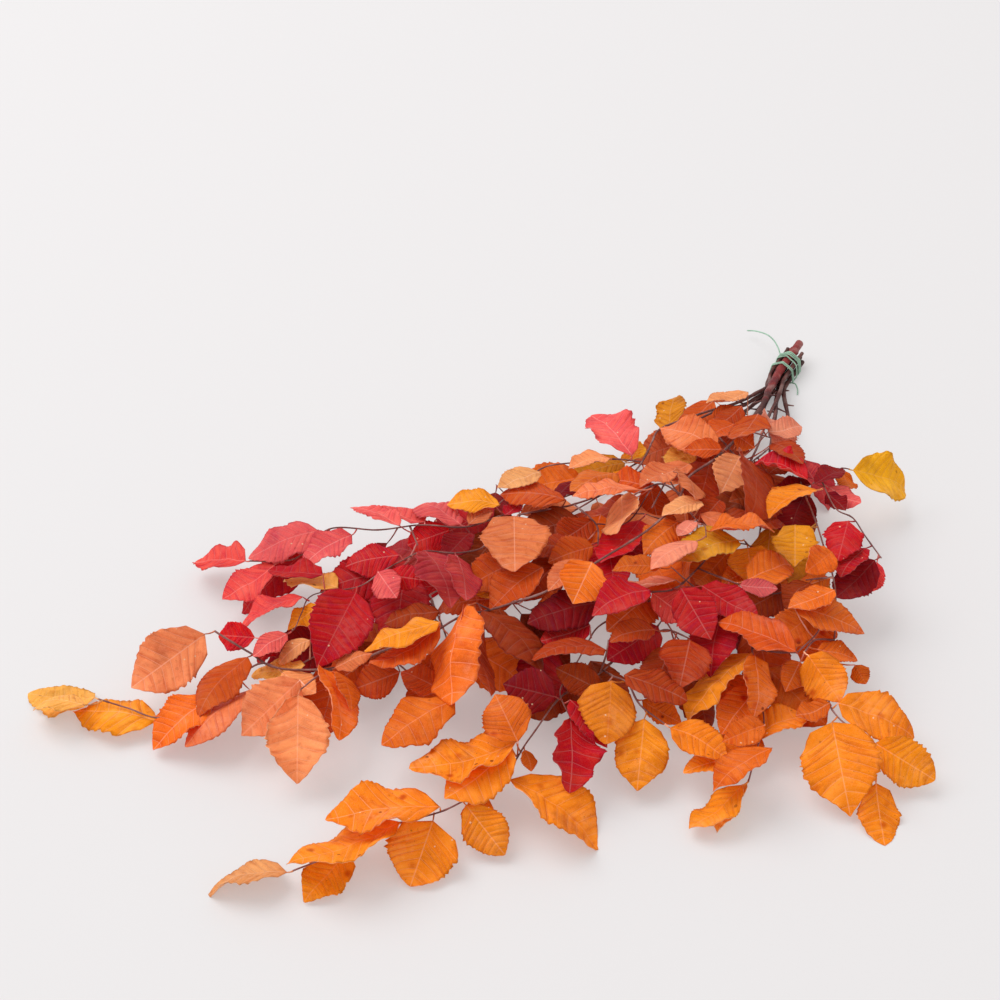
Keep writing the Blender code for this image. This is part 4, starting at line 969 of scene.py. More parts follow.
def wire_path():
    """The wire's middle line: turns drawn tight round the stems, one long free end and one short tail."""
    along, turns = zip(*WIRE_TURNS)
    steps = round(WIRE_TURN_STEPS * turns[-1])
    wound = []
    for i in range(steps + 1):
        turn = turns[-1] * i / steps
        flat = bundle_outline(WIRE_TOP - 2 * math.pi * turn, WIRE_RADIUS + WIRE_GAP)
        wound.append(by_tie(float(np.interp(turn, turns, along)), flat.x, flat.y))
    free_end = [by_tie(*place) for place in WIRE_FREE_END]
    tail = [by_tie(*place) for place in WIRE_TAIL]
    before = smooth_path(free_end + wound[:1], WIRE_END_STEP)
    after = smooth_path(wound[-1:] + tail, WIRE_END_STEP)
    path = before[:-1] + wound + after[1:]
    spaced = [path[0]]
    for place in path[1:]:
        if (place - spaced[-1]).length > WIRE_RADIUS:
            spaced.append(place)
    return spaced


# The dense part of the heap in the view, where leaves further down close what would show the floor
DENSE_OUTLINE = (
    (735, 395), (668, 428), (610, 462), (560, 478), (500, 505), (440, 528), (400, 552), (372, 590), (335, 640),
    (352, 676), (400, 684), (450, 676), (500, 668), (540, 692), (600, 694), (636, 664), (660, 712), (700, 762),
    (742, 776), (765, 728), (800, 706), (838, 690), (850, 640), (838, 600), (812, 566), (800, 500), (806, 452),
    (790, 426), (762, 410),
)
GAP_STEP = 13
GAP_JITTER = 4
GAP_SEED = 11
GAP_TRIES = 16
GAP_ROUNDS = 3
GAP_DEPTHS = (-26, -5)  # how far below the heap's surface such a leaf lies
GAP_LENGTHS = (44, 66)
GAP_FOOT_SHARE = 0.45  # how much of such a leaf lies on the twig's side of the gap
SHADED_SHARE = 0.6  # how many of the inner leaves are a tone deeper, as painted shade


def inside_outline(across, down):
    inside = False
    for (x0, y0), (x1, y1) in zip(DENSE_OUTLINE, DENSE_OUTLINE[1:] + DENSE_OUTLINE[:1]):
        if (y0 > down) != (y1 > down) and across < x0 + (x1 - x0) * (down - y0) / (y1 - y0):
            inside = not inside
    return inside


def shows_floor(across, down, shapes):
    ray = eye_ray(across, down).normalized()
    return all(shape.tree.ray_cast(EYE, ray)[0] is None for shape in shapes)


def row_near(across, down):
    """The branch and tone of the listed leaf that lies nearest in the view."""
    found = min(
        (math.hypot((row[0] + row[2]) / 2 - across, (row[1] + row[3]) / 2 - down), name, row[-1])
        for name, rows in LEAVES.items()
        for row in rows
    )
    return found[1:]


def shaded_inner_tone(draw, place):
    """The tone of the leaves round a place for a leaf that lies below them, often a tone deeper as painted shade."""
    away = place - EYE
    depth = view_depth(away)
    rise = away.y * math.sin(EYE_PITCH) + away.z * math.cos(EYE_PITCH)
    across = VIEW_WIDE / 2 + VIEW_DISTANCE * away.x / depth
    down = VIEW_WIDE / 2 - VIEW_DISTANCE * rise / depth
    tone = row_near(across, down)[1]
    return SHADED_TONES.get(tone, tone) if draw.random() < SHADED_SHARE else tone


def gap_leaf(draw, across, down, woods, seed):
    """A leaf below the heap's surface where the floor shows, on the branch that has leaves there."""
    centre = on_heap(across, down, draw.uniform(*GAP_DEPTHS))
    bearing = math.radians(bearing_of(centre)) + draw.uniform(-1.0, 1.0)
    length = draw.uniform(*GAP_LENGTHS)
    out = Vector((math.cos(bearing), math.sin(bearing), draw.uniform(-0.35, 0.12)))
    base = centre - out * length * GAP_FOOT_SHARE
    tip = centre + out * length * (1 - GAP_FOOT_SHARE)
    base.z = max(base.z, LOWEST_LEAF)
    tip.z = max(tip.z, LOWEST_LEAF)
    name = row_near(across, down)[0]
    rough = Vector((draw.uniform(-0.5, 0.5), draw.uniform(-0.7, 0.2), 1))
    wood = [path for path, _ in woods[name]]
    return name, *with_petiole(base, tip, length * LEAF_SHAPE, rough, wood, seed, True)


def close_gaps(wood, woods, blades, leafy):
    """Leaves that close the gaps in the dense part, each clear of everything laid before it."""
    draw = random.Random(GAP_SEED)
    low = [min(corner[k] for corner in DENSE_OUTLINE) for k in (0, 1)]
    high = [max(corner[k] for corner in DENSE_OUTLINE) for k in (0, 1)]
    for _ in range(GAP_ROUNDS):
        for down in range(low[1], high[1], GAP_STEP):
            for across in range(low[0], high[0], GAP_STEP):
                place = tuple(middle + draw.uniform(-GAP_JITTER, GAP_JITTER) for middle in (across, down))
                shapes = [*woods.values(), *leafy.values()]
                if not inside_outline(*place) or not shows_floor(*place, shapes):
                    continue
                for attempt in range(GAP_TRIES):
                    name, leaf, twig = gap_leaf(draw, *place, wood, f"gap {place} {attempt}")
                    others = [shape for other in wood if other != name for shape in (woods[other], leafy[other])]
                    made = try_leaf(leaf, twig, others, leafy[name], woods[name])
                    if made:
                        blades[name].append((leaf, shaded_inner_tone(draw, leaf.base), False))
                        leafy[name].add(*thick_shape(made[0], made[1], LEAF_THICK / 2))
                        if made[2]:
                            wood[name].append((made[2], [TWIG_RADIUS] * len(made[2])))
                            woods[name].add(*tube_shape(*wood[name][-1]))
                        break


@functools.cache
def bunch():
    """The laid wood and leaves, worked out once for all the operators."""
    wood, woods, blades, leafy = laid_bunch()
    close_gaps(wood, woods, blades, leafy)
    return wood, blades


def linear(colour):
    """A colour from 0 to 255 as the shader's linear values."""
    return tuple((part / 255) ** 2.2 for part in colour)


def number_setting(name, description, default, **kind):
    return bpy.props.FloatProperty(name=name, description=description, default=default, **kind)


def length_setting(name, description, default):
    return number_setting(name, description, default, unit="LENGTH", subtype="DISTANCE")


def share_setting(name, description, default):
    return number_setting(name, description, default, subtype="FACTOR", min=0.0, max=1.0)


def colour_setting(name, description, default):
    return bpy.props.FloatVectorProperty(name=name, description=description, default=default, subtype="COLOR", size=3)


class BladeSettings(bpy.types.PropertyGroup):
    thickness: length_setting("Thickness", "Thickness of a blade", 0.00034)
    vein_pairs: bpy.props.IntProperty(
        name="Side veins", description="Pairs of side veins on a blade", default=8, min=3
    )
    relief: length_setting("Relief", "How far the blade swells between two veins", 0.0007)
    ripple: number_setting("Ripple", "How far the margins wave, as a share of the half width", 0.17)
    dents: length_setting("Dents", "Height of the soft dents of a dried blade", 0.0005)
    tip_curl: number_setting("Tip curl", "The most that a tip bends, as a share of the length", 0.12)
    see_through: share_setting("Light let through", "Share of the light that passes through a blade", 0.16)
    spot_colour: colour_setting("Spots", "Colour of the dark spots", linear(SPOT))
    speck_colour: colour_setting("Specks", "Colour of the pale specks", linear(SPECK))


class WoodSettings(bpy.types.PropertyGroup):
    ring_step: length_setting("Ring step", "Distance between two rings of a stem's mesh", 0.0035)
    knot_step: length_setting("Knots", "Distance between two knots of a stem", 0.030)
    knot_swell: share_setting("Knot swelling", "How much thicker a stem is at a knot", 0.3)
    thinner: length_setting("Thinner twigs", "How much thinner a twig is than the solid's", 0.0004)
    stalk_radius: length_setting("Stalk radius", "Radius of a leaf stalk at the twig", 0.0006)
    thick_bark: colour_setting("Thick bark", "Colour of the bark on thick stems", linear(THICK_BARK))
    thin_bark: colour_setting("Thin bark", "Colour of the bark on thin twigs", linear(THIN_BARK))
    red_bark: colour_setting("Red bark", "Colour of the bark on the thickest stem", linear(RED_BARK))
    cut_wood: colour_setting("Cut wood", "Colour of the cut ends", linear(CUT_WOOD))


class WireSettings(bpy.types.PropertyGroup):
    colour: colour_setting("Coating", "Colour of the wire's coating", linear(COATING))
    roughness: share_setting("Roughness", "Roughness of the wire's coating", 0.38)
    radius: length_setting("Radius", "Radius of the coated wire", 0.0006)
    sides: bpy.props.IntProperty(name="Sides", description="Sides of the wire's round section", default=10, min=6)


class StageSettings(bpy.types.PropertyGroup):
    floor_colour: colour_setting("Floor", "Colour of the floor", (0.49, 0.484, 0.488))
    # Painted light: the floor glows by itself, though it is no lamp, to keep the shadows on it pale
    floor_glow: number_setting("Floor glow", "Light that the backlit floor gives off itself", 0.29)
    floor_size: length_setting("Floor size", "Length of the floor's sides", 60.0)
    lamp_power: number_setting("Lamp", "Power of the large soft lamp", 172.0, unit="POWER")
    lamp_size: length_setting("Lamp size", "Side of the soft lamp", 4.1)
    sky: number_setting("Sky", "Strength of the even light from all round", 0.76)
    lens: number_setting("Lens", "Focal length in millimetres", 72.0)


class NodeMaker:
    """A material whose nodes are added one by one."""

    def __init__(self, name):
        self.material = bpy.data.materials.new(name)
        self.material.use_nodes = True
        self.tree = self.material.node_tree
        self.tree.nodes.clear()

    def add(self, kind, values=None, **settings):
        node = self.tree.nodes.new(kind)
        for key, value in settings.items():
            setattr(node, key, value)
        for key, value in (values or {}).items():
            if isinstance(value, bpy.types.NodeSocket):
                self.tree.links.new(value, node.inputs[key])
            else:
                node.inputs[key].default_value = value
        return node

    def attribute(self, name, output="Fac"):
        return self.add("ShaderNodeAttribute", attribute_name=name).outputs[output]

    def span(self, value, low, high, bottom=0.0, top=1.0):
        """The value's run from low to high as a smooth run from bottom to top."""
        values = {"Value": value, "From Min": low, "From Max": high, "To Min": bottom, "To Max": top}
        return self.add("ShaderNodeMapRange", values, interpolation_type="SMOOTHSTEP").outputs[0]

    def work(self, operation, a, b=0.0):
        return self.add("ShaderNodeMath", {0: a, 1: b}, operation=operation).outputs[0]

    def blend(self, factor, a, b, kind="MIX"):
        return self.add("ShaderNodeMix", {0: factor, 6: a, 7: b}, data_type="RGBA", blend_type=kind).outputs[2]

    def shade(self, colour, hue, saturation, value):
        values = {"Hue": hue, "Saturation": saturation, "Value": value, "Color": colour}
        return self.add("ShaderNodeHueSaturation", values).outputs[0]

    def noise(self, place, scale, detail=3.0):
        return self.add("ShaderNodeTexNoise", {"Vector": place, "Scale": scale, "Detail": detail}).outputs["Fac"]

    def dots(self, place, scale, radius, chance):
        """A mask of round dots, one in some of the cells."""
        cells = self.add("ShaderNodeTexVoronoi", {"Vector": place, "Scale": scale})
        dot = self.span(cells.outputs["Distance"], radius, radius * 0.6)
        drawn = self.add("ShaderNodeSeparateColor", {0: cells.outputs["Color"]}).outputs[0]
        return self.work("MULTIPLY", dot, self.work("GREATER_THAN", drawn, 1 - chance))

    def bump(self, height, distance, strength=1.0):
        return self.add("ShaderNodeBump", {"Height": height, "Distance": distance, "Strength": strength}).outputs[0]

    def surface(self, colour, roughness, values):
        values = {"Base Color": colour, "Roughness": roughness, **values}
        return self.add("ShaderNodeBsdfPrincipled", values).outputs[0]

    def finish(self, shader):
        output = self.add("ShaderNodeOutputMaterial")
        self.tree.links.new(shader, output.inputs["Surface"])
        return self.material


def leaf_material(settings, underside):
    """A dyed, dried beech blade: ribs, net veins, mottling, spots and specks on the leaf's own tone, with painted
    shade along the side veins and a painted sheen in pale patches.
    """
    maker = NodeMaker("leaf_underside" if underside else "leaf_upper_side")
    flat = maker.add("ShaderNodeUVMap", uv_map="Blade").outputs[0]
    tone = maker.attribute("tone", "Color")
    spotted = maker.attribute("spotted")
    tone = maker.shade(tone, 0.5, 1.05, 1.0)
    if underside:
        tone = maker.shade(tone, 0.506, 0.80, 1.06)
    deep = maker.shade(tone, 0.488, 1.08, 0.56)
    light = maker.shade(tone, 0.508, 0.97, 1.18)
    pale = maker.shade(tone, 0.508, 0.78, 1.25)
    vein = maker.shade(tone, 0.510, 0.68, 1.28)
    broad = maker.noise(flat, 42.0, 3.0)
    middling = maker.noise(flat, 190.0, 3.0)
    fine = maker.noise(flat, 1100.0, 1.0)
    rib = maker.work("PINGPONG", maker.attribute("rib"), 0.5)
    colour = maker.blend(maker.span(broad, 0.52, 0.74, 0.0, 0.55), tone, deep)
    colour = maker.blend(maker.span(broad, 0.50, 0.30, 0.0, 0.6), colour, light)
    colour = maker.blend(maker.span(middling, 0.54, 0.76, 0.0, 0.4), colour, deep)
    # Painted shade: darker along the side veins, in the grooves of the blade's relief
    colour = maker.blend(maker.span(rib, 0.16, 0.02, 0.0, 0.22), colour, deep)
    # Painted sheen: pale patches stand in for the soft highlight of the light on the blade
    sheen_patches = maker.span(maker.noise(flat, 23.0, 3.0), 0.50, 0.72)
    painted_sheen = maker.work("MULTIPLY", sheen_patches, maker.span(middling, 0.35, 0.6))
    colour = maker.blend(maker.work("MULTIPLY", painted_sheen, 0.28), colour, pale)
    colour = maker.blend(maker.span(fine, 0.50, 0.78, 0.0, 0.22), colour, deep)
    along_veins = {
        "X": maker.work("MULTIPLY", maker.attribute("rib"), 2.6),
        "Y": maker.work("MULTIPLY", maker.attribute("from_midrib"), 55.0),
        "Z": maker.work("MULTIPLY", spotted, 57.0),
    }
    streaks = maker.noise(maker.add("ShaderNodeCombineXYZ", along_veins).outputs[0], 1.0, 2.0)
    colour = maker.blend(maker.span(streaks, 0.52, 0.72, 0.0, 0.42), colour, maker.shade(tone, 0.482, 1.1, 0.70))
    colour = maker.blend(maker.span(streaks, 0.46, 0.30, 0.0, 0.4), colour, light)
    cells = maker.add(
        "ShaderNodeTexVoronoi", {"Vector": flat, "Scale": 900.0}, feature="DISTANCE_TO_EDGE"
    ).outputs["Distance"]
    colour = maker.blend(maker.span(cells, 0.10, 0.0, 0.0, 0.16), colour, pale)
    rib_line = maker.span(rib, 0.045, 0.012, 0.0, 0.36)
    middle_line = maker.span(maker.attribute("from_midrib"), 0.0006, 0.0002, 0.0, 0.44)
    lines = maker.work("MULTIPLY", maker.work("MAXIMUM", rib_line, middle_line), maker.attribute("veined"))
    colour = maker.blend(lines, colour, vein)
    margin = maker.span(maker.attribute("margin"), 0.86, 1.0)
    margin = maker.work("MULTIPLY", margin, maker.span(middling, 0.38, 0.60))
    colour = maker.blend(maker.work("MULTIPLY", margin, 0.55), colour, deep)
    spots = maker.work("MULTIPLY", maker.dots(flat, 95.0, 0.15, 0.30), spotted)
    stains = maker.add("ShaderNodeTexVoronoi", {"Vector": flat, "Scale": 58.0}).outputs["Distance"]
    stains = maker.work("MULTIPLY", maker.span(stains, 0.24, 0.04, 0.0, 0.9), spotted)
    colour = maker.blend(stains, colour, maker.shade(tone, 0.472, 1.1, 0.60))
    freckles = maker.work("MULTIPLY", maker.dots(flat, 400.0, 0.16, 0.22), spotted)
    dark = maker.work("MULTIPLY", maker.work("MAXIMUM", spots, freckles), 0.8)
    colour = maker.blend(dark, colour, (*settings.spot_colour, 1.0))
    specks = maker.dots(flat, 130.0, 0.10, 0.16)
    colour = maker.blend(maker.work("MULTIPLY", specks, 0.75), colour, (*settings.speck_colour, 1.0))
    height = maker.work("MULTIPLY", maker.span(cells, 0.0, 0.25), 0.35)
    height = maker.work("ADD", height, maker.work("MULTIPLY", middling, 0.9))
    height = maker.work("ADD", height, maker.work("MULTIPLY", maker.span(rib, 0.0, 0.30), 0.9))
    height = maker.work("ADD", height, maker.work("MULTIPLY", lines, 0.8 if underside else -0.6))
    height = maker.work("ADD", height, maker.work("MULTIPLY", broad, 8.0))
    normal = maker.bump(height, 0.0004, 0.8)
    smoothest, roughest = (0.60, 0.80) if underside else (0.42, 0.62)
    roughness = maker.span(middling, 0.3, 0.7, smoothest, roughest)
    surface = maker.surface(colour, roughness, {"Normal": normal, "Specular IOR Level": 0.10})
    glow = maker.shade(colour, 0.5, 1.18, 1.12)
    through = maker.add("ShaderNodeBsdfTranslucent", {"Color": glow, "Normal": normal})
    # Light that has gone in at one face of the thin blade leaves it by the other
    inside = maker.add("ShaderNodeNewGeometry").outputs["Backfacing"]
    passed = maker.work("MAXIMUM", inside, settings.see_through)
    mixed = maker.add("ShaderNodeMixShader", {0: passed, 1: surface, 2: through.outputs[0]})
    return maker.finish(mixed.outputs[0])


def bark_material():
    """Smooth beech bark: the twig's own tone with lighter grey patches, pale pores and fine wrinkles along it."""
    maker = NodeMaker("beech_bark")
    place = maker.add("ShaderNodeTexCoord").outputs["Object"]
    tone = maker.attribute("tone", "Color")
    broad = maker.noise(place, 60.0, 4.0)
    fine = maker.noise(place, 900.0, 4.0)
    colour = maker.blend(maker.span(broad, 0.46, 0.62, 0.0, 0.8), tone, maker.shade(tone, 0.49, 1.1, 0.42))
    colour = maker.blend(maker.span(broad, 0.47, 0.34, 0.0, 0.6), colour, maker.shade(tone, 0.51, 0.6, 1.7))
    colour = maker.blend(maker.span(fine, 0.5, 0.7, 0.0, 0.5), colour, maker.shade(tone, 0.5, 0.9, 0.55))
    pores = maker.dots(place, 420.0, 0.22, 0.30)
    colour = maker.blend(maker.work("MULTIPLY", pores, 0.6), colour, maker.shade(tone, 0.51, 0.5, 1.9))
    height = maker.work("ADD", fine, maker.work("MULTIPLY", pores, 0.5))
    roughness = maker.span(fine, 0.3, 0.7, 0.45, 0.75)
    normal = maker.bump(height, 0.0007, 0.8)
    return maker.finish(maker.surface(colour, roughness, {"Normal": normal, "Specular IOR Level": 0.4}))


def cut_material(settings):
    """The cut face of a stem: pale wood with growth rings and a brown pith."""
    maker = NodeMaker("cut_wood")
    place = maker.add("ShaderNodeTexCoord").outputs["Object"]
    fine = maker.noise(place, 1500.0, 4.0)
    broad = maker.noise(place, 300.0, 3.0)
    colour = maker.blend(maker.span(fine, 0.4, 0.7, 0.0, 0.6), (*settings.cut_wood, 1.0), (0.32, 0.17, 0.08, 1.0))
    colour = maker.blend(maker.span(broad, 0.45, 0.7, 0.0, 0.5), colour, (0.22, 0.09, 0.05, 1.0))
    return maker.finish(maker.surface(colour, 0.8, {"Normal": maker.bump(fine, 0.0003, 0.6)}))


def coating_material(settings):
    """The wire's thin plastic coating, a little scuffed and darker in broad patches."""
    maker = NodeMaker("wire_coating")
    place = maker.add("ShaderNodeTexCoord").outputs["Object"]
    broad = maker.noise(place, 120.0, 3.0)
    fine = maker.noise(place, 1400.0, 3.0)
    base = (*settings.colour, 1.0)
    darker = (*(part * 0.62 for part in settings.colour), 1.0)
    colour = maker.blend(maker.span(broad, 0.42, 0.66, 0.0, 0.7), base, darker)
    colour = maker.blend(maker.dots(place, 700.0, 0.2, 0.2), colour, (0.62, 0.72, 0.62, 1.0))
    roughness = maker.span(fine, 0.3, 0.7, settings.roughness - 0.08, settings.roughness + 0.16)
    normal = maker.bump(fine, 0.00012, 0.5)
    return maker.finish(maker.surface(colour, roughness, {"Normal": normal, "IOR": 1.46}))


def floor_material(settings):
    """A dull white sheet that glows a little by itself: painted light that keeps the shadows cast on it pale."""
    maker = NodeMaker("white_floor")
    glow = {"Emission Color": FLOOR_GLOW_COLOUR, "Emission Strength": settings.floor_glow}
    return maker.finish(maker.surface((*settings.floor_colour, 1.0), 0.9, {"Specular IOR Level": 0.1, **glow}))


FLOOR_TOUCH = 0.02  # the lowest that a point of a mesh lies


class Sheet:
    """Points, faces and the values at each point, gathered for one mesh."""

    def __init__(self):
        self.points = []
        self.faces = []
        self.looks = []
        self.values = {}

    def add(self, points, faces, look, **values):
        base = len(self.points)
        self.points.extend(points)
        self.faces.extend(tuple(i + base for i in face) for face in faces)
        self.looks.extend([look] * len(faces))
        for key, value in values.items():
            kept = self.values.setdefault(key, [])
            kept.extend(value if len(value) == len(points) else [value] * len(points))

    def object(self, name, materials, flat_map=None):
        """The mesh as a smooth shaded object, with its values as attributes and one pair of them as its map."""
        mesh = bpy.data.meshes.new(name)
        points = np.array(self.points)
        points[:, 2] = points[:, 2].clip(FLOOR_TOUCH)
        mesh.from_pydata((points * MM).tolist(), [], self.faces)
        for material in materials:
            mesh.materials.append(material)
        mesh.polygons.foreach_set("material_index", self.looks)
        mesh.shade_smooth()
        for key, value in self.values.items():
            value = np.array(value, np.float32)
            if key == flat_map:
                layer = mesh.uv_layers.new(name="Blade")
                corners = np.empty(len(mesh.loops), np.int32)
                mesh.loops.foreach_get("vertex_index", corners)
                layer.uv.foreach_set("vector", value[corners].ravel())
            elif value.ndim == 2:
                made = mesh.attributes.new(key, "FLOAT_COLOR", "POINT")
                made.data.foreach_set("color", np.c_[value, np.ones(len(value), np.float32)].ravel())
            else:
                mesh.attributes.new(key, "FLOAT", "POINT").data.foreach_set("value", value)
        mesh.validate()
        ob = bpy.data.objects.new(name, mesh)
        bpy.context.scene.collection.objects.link(ob)
        return ob


RIB_ROWS = 5  # rows of the mesh from one side vein to the next
ACROSS = np.array((-1.0, -0.88, -0.70, -0.50, -0.30, -0.12, 0.0, 0.12, 0.30, 0.50, 0.70, 0.88, 1.0))
AMOUNTS = (1.0, 0.6, 0.3, 0.08)  # how much of its own shape a blade keeps where it would cross another
LOWEST = 0.3  # the lowest that a point of a blade lies, before it gets its thickness
SHADES = (1.04, 1.33)  # how much brighter a leaf is than its tone
# Painted shade: a leaf inside the heap is darker by this much than a listed one
INNER_SHADE = 0.93
PALEST = 0.97  # the most of any colour that a leaf throws back
LEAN = 0.42  # how far a side vein runs on towards the tip, as a share of its length
# Leaves whose margins are crumpled far more than the others'
RUFFLED = {("branch_red_middle", 1): 1.9, ("branch_coral", 6): 1.6, ("branch_red_right", 0): 1.5}


def solid_lift(leaf, share, across):
    """How far the solid's blade stands off the leaf's flat plane."""
    rows = PLAIN_ROWS if leaf.plain else LARGE_BLADE_ROWS if leaf.length > LARGE_BLADE else BLADE_ROWS
    ends = (leaf.place(1.0, 0.0) - leaf.base).dot(leaf.normal)
    left, middle, right = (
        [0.0] + [(leaf.place(row, side) - leaf.base).dot(leaf.normal) for row in rows] + [ends]
        for side in (-1.0, 0.0, 1.0)
    )
    if leaf.plain:
        middle = [(a + b) / 2 for a, b in zip(left, right)]
    left, middle, right = (np.interp(share, (0.0, *rows, 1.0), lifts) for lifts in (left, middle, right))
    return np.where(across < 0, middle + (middle - left) * across, middle + (right - middle) * across)


class Blade:
    """The fine surface of a leaf: ribbed, rippled and curled, and close to the solid's blade."""

    def __init__(self, leaf, tone, listed, settings, seed, ruffle):
        draw = random.Random(seed)
        self.leaf = leaf
        shade = draw.uniform(*SHADES) * (1 if listed else INNER_SHADE)
        self.tone = [part * shade * draw.uniform(0.95, 1.05) for part in linear(TONES[tone])]
        brightest = max(self.tone)
        if brightest > PALEST:
            self.tone = [part * PALEST / brightest for part in self.tone]
        pairs = settings.vein_pairs + draw.choice((-1, 0, 0, 1))
        rows = np.arange(1, pairs * RIB_ROWS) / RIB_ROWS
        self.rib, self.across = np.meshgrid(rows, ACROSS, indexing="ij")
        side = np.abs(self.across)
        middle, left, right = (self.vein_feet(draw, pairs) for _ in range(3))
        along = middle + (np.where(self.across < 0, left, right) - middle) * side
        lean = LEAN * leaf.wide / leaf.length
        self.share = along + lean * side * (1 - along) * (1 - np.exp(-along / 0.05))
        half = self.half_width(draw, pairs)
        self.from_midrib = side * half
        self.solid = solid_lift(leaf, self.share, self.across)
        self.lift = self.own_lift(draw, settings, half, along, ruffle)
        self.flat = np.stack([self.share * leaf.length, self.across * half], axis=-1)

    def vein_feet(self, draw, pairs):
        """Where each row leaves the midrib, with the side veins unevenly spaced."""
        steps = [0.0] + [draw.uniform(0.72, 1.28) for _ in range(pairs)]
        return np.interp(self.rib, range(pairs + 1), np.cumsum(steps) / sum(steps)) ** 1.08

    def half_width(self, draw, pairs):
        """Half the width at each point: a blunt foot, a pointed tip, and margins that sway, with teeth and nicks."""
        side = np.abs(self.across)
        blunt = draw.uniform(0.56, 0.70)
        pointed = draw.uniform(0.70, 1.05)
        broadest = draw.uniform(0.84, 1.06)
        power = blunt + (pointed - blunt) * (self.share - 0.45).clip(0) / 0.55
        half = self.leaf.wide / 2 * np.sin(np.pi * self.share**broadest).clip(0) ** power
        for way in (-1, 1):
            uneven = np.interp(self.rib, range(pairs + 1), [draw.uniform(0.2, 1.6) for _ in range(pairs + 1)])
            teeth = 0.10 * uneven * ((self.rib - 0.21) % 1 - 0.5) * side**6
            sway = 0.05 * np.sin(2 * np.pi * (draw.uniform(0.8, 2.6) * self.share + draw.random())) * side**2
            nicks = np.array([draw.uniform(-0.035, 0.02) for _ in self.rib])[:, None] * side**8
            half = half * (1 + (self.across * way > 0) * (teeth + sway + nicks))
        return half

    def own_lift(self, draw, settings, half, along, ruffle):
        """How far each point stands off the flat plane: bow, fold and waves, curl, ripples, dents and swelling."""
        leaf = self.leaf
        side = np.abs(self.across)
        lift = leaf.bow * leaf.length * np.sin(np.pi * self.share) + leaf.cup * half * side**1.5
        lift += 0.35 * leaf.wave * leaf.length * self.across * side * np.sin(4.8 * np.pi * self.share + leaf.phase)
        lift += leaf.twist * half * self.across * (self.share - 0.4)
        curl = settings.tip_curl * draw.uniform(-0.35, 1.0) * leaf.length
        lift -= curl * ((self.share - 0.7).clip(0) / 0.3) ** 2
        ripple = settings.ripple * draw.uniform(0.3, 1.0) * ruffle
        turns = draw.uniform(1.2, 2.6) + 1.4 * (ruffle > 1)
        lift += (ruffle - 1) * 0.55 * half * side**3
        for way in (-1, 1):
            wave = np.sin(2 * np.pi * (turns * self.share + draw.random()))
            lift += (self.across * way > 0) * ripple * half * side**2.5 * wave
        for _ in range(3):
            heading = draw.uniform(0, math.pi)
            slope = self.share * leaf.length * math.cos(heading) + self.across * half * math.sin(heading)
            wave = np.sin(2 * np.pi * (slope / draw.uniform(15, 30) + draw.random()))
            lift += settings.dents / MM * draw.uniform(0.3, 1.0) * wave * np.minimum(self.share * 4, 1)
        relief = settings.relief / MM * draw.uniform(0.5, 1.6) * min(leaf.wide / 36, 1.2)
        swell = np.abs(np.sin(np.pi * self.rib)) ** 0.8 * (1 - np.exp(-4 * side)) * (1 - along) ** 0.25
        lift += relief * swell * (0.6 + 0.4 * side)
        return lift

    def mark(self, tone, seed):
        """How strongly the blade's spots and veins show."""
        draw = random.Random(seed)
        dotted = tone in SPOTTED_TONES
        self.spotted = (1.0 if dotted else 0.3) * draw.uniform(0.3, 1.0)
        self.veined = draw.uniform(0.2, 0.9) if dotted else draw.uniform(0.5, 1.0)

    def surface(self, amount):
        """All points of the blade, from its foot by rows to its tip, for a share of its own shape."""
        leaf = self.leaf
        lift = self.solid + (self.lift - self.solid) * amount
        points = np.array(leaf.base) + self.flat[..., :1] * np.array(leaf.axis)
        points = points + self.flat[..., 1:] * np.array(leaf.side) + lift[..., None] * np.array(leaf.normal)
        points = np.concatenate([[leaf.base], points.reshape(-1, 3), [self.tip(amount)]])
        points[:, 2] = points[:, 2].clip(LOWEST)
        return points

    def tip(self, amount):
        leaf = self.leaf
        middle = len(ACROSS) // 2
        last = self.solid[-1, middle] + (self.lift[-1, middle] - self.solid[-1, middle]) * amount
        return leaf.tip + leaf.normal * float(last)

    def faces(self):
        rows, columns = self.share.shape
        made = [(0, 1 + k, 2 + k) for k in range(columns - 1)]
        for i in range(rows - 1):
            for k in range(columns - 1):
                a = 1 + i * columns + k
                made.append((a, a + columns, a + columns + 1, a + 1))
        last = 1 + (rows - 1) * columns
        tip = 1 + rows * columns
        return made + [(last + k + 1, last + k, tip) for k in range(columns - 1)]

    def at_points(self, grid, foot, tip):
        """A grid's values as a list by point, with those of the foot and the tip."""
        return [foot, *grid.reshape(-1, *grid.shape[2:]).tolist(), tip]


def crossings(points, faces, laid):
    """How many faces would cross the blades laid so far, and the blade's own test shape."""
    low, high = points.min(axis=0), points.max(axis=0)
    tree = BVHTree.FromPolygons(points.tolist(), faces)
    met = 0
    for other_low, other_high, other in laid:
        if (low < other_high).all() and (other_low < high).all():
            met += len(other.overlap(tree))
    return met, (low, high, tree)


MAP_STEPS = (0.11, 0.09)  # from one blade's place on the flat map to the next
MAP_COLUMNS = 9


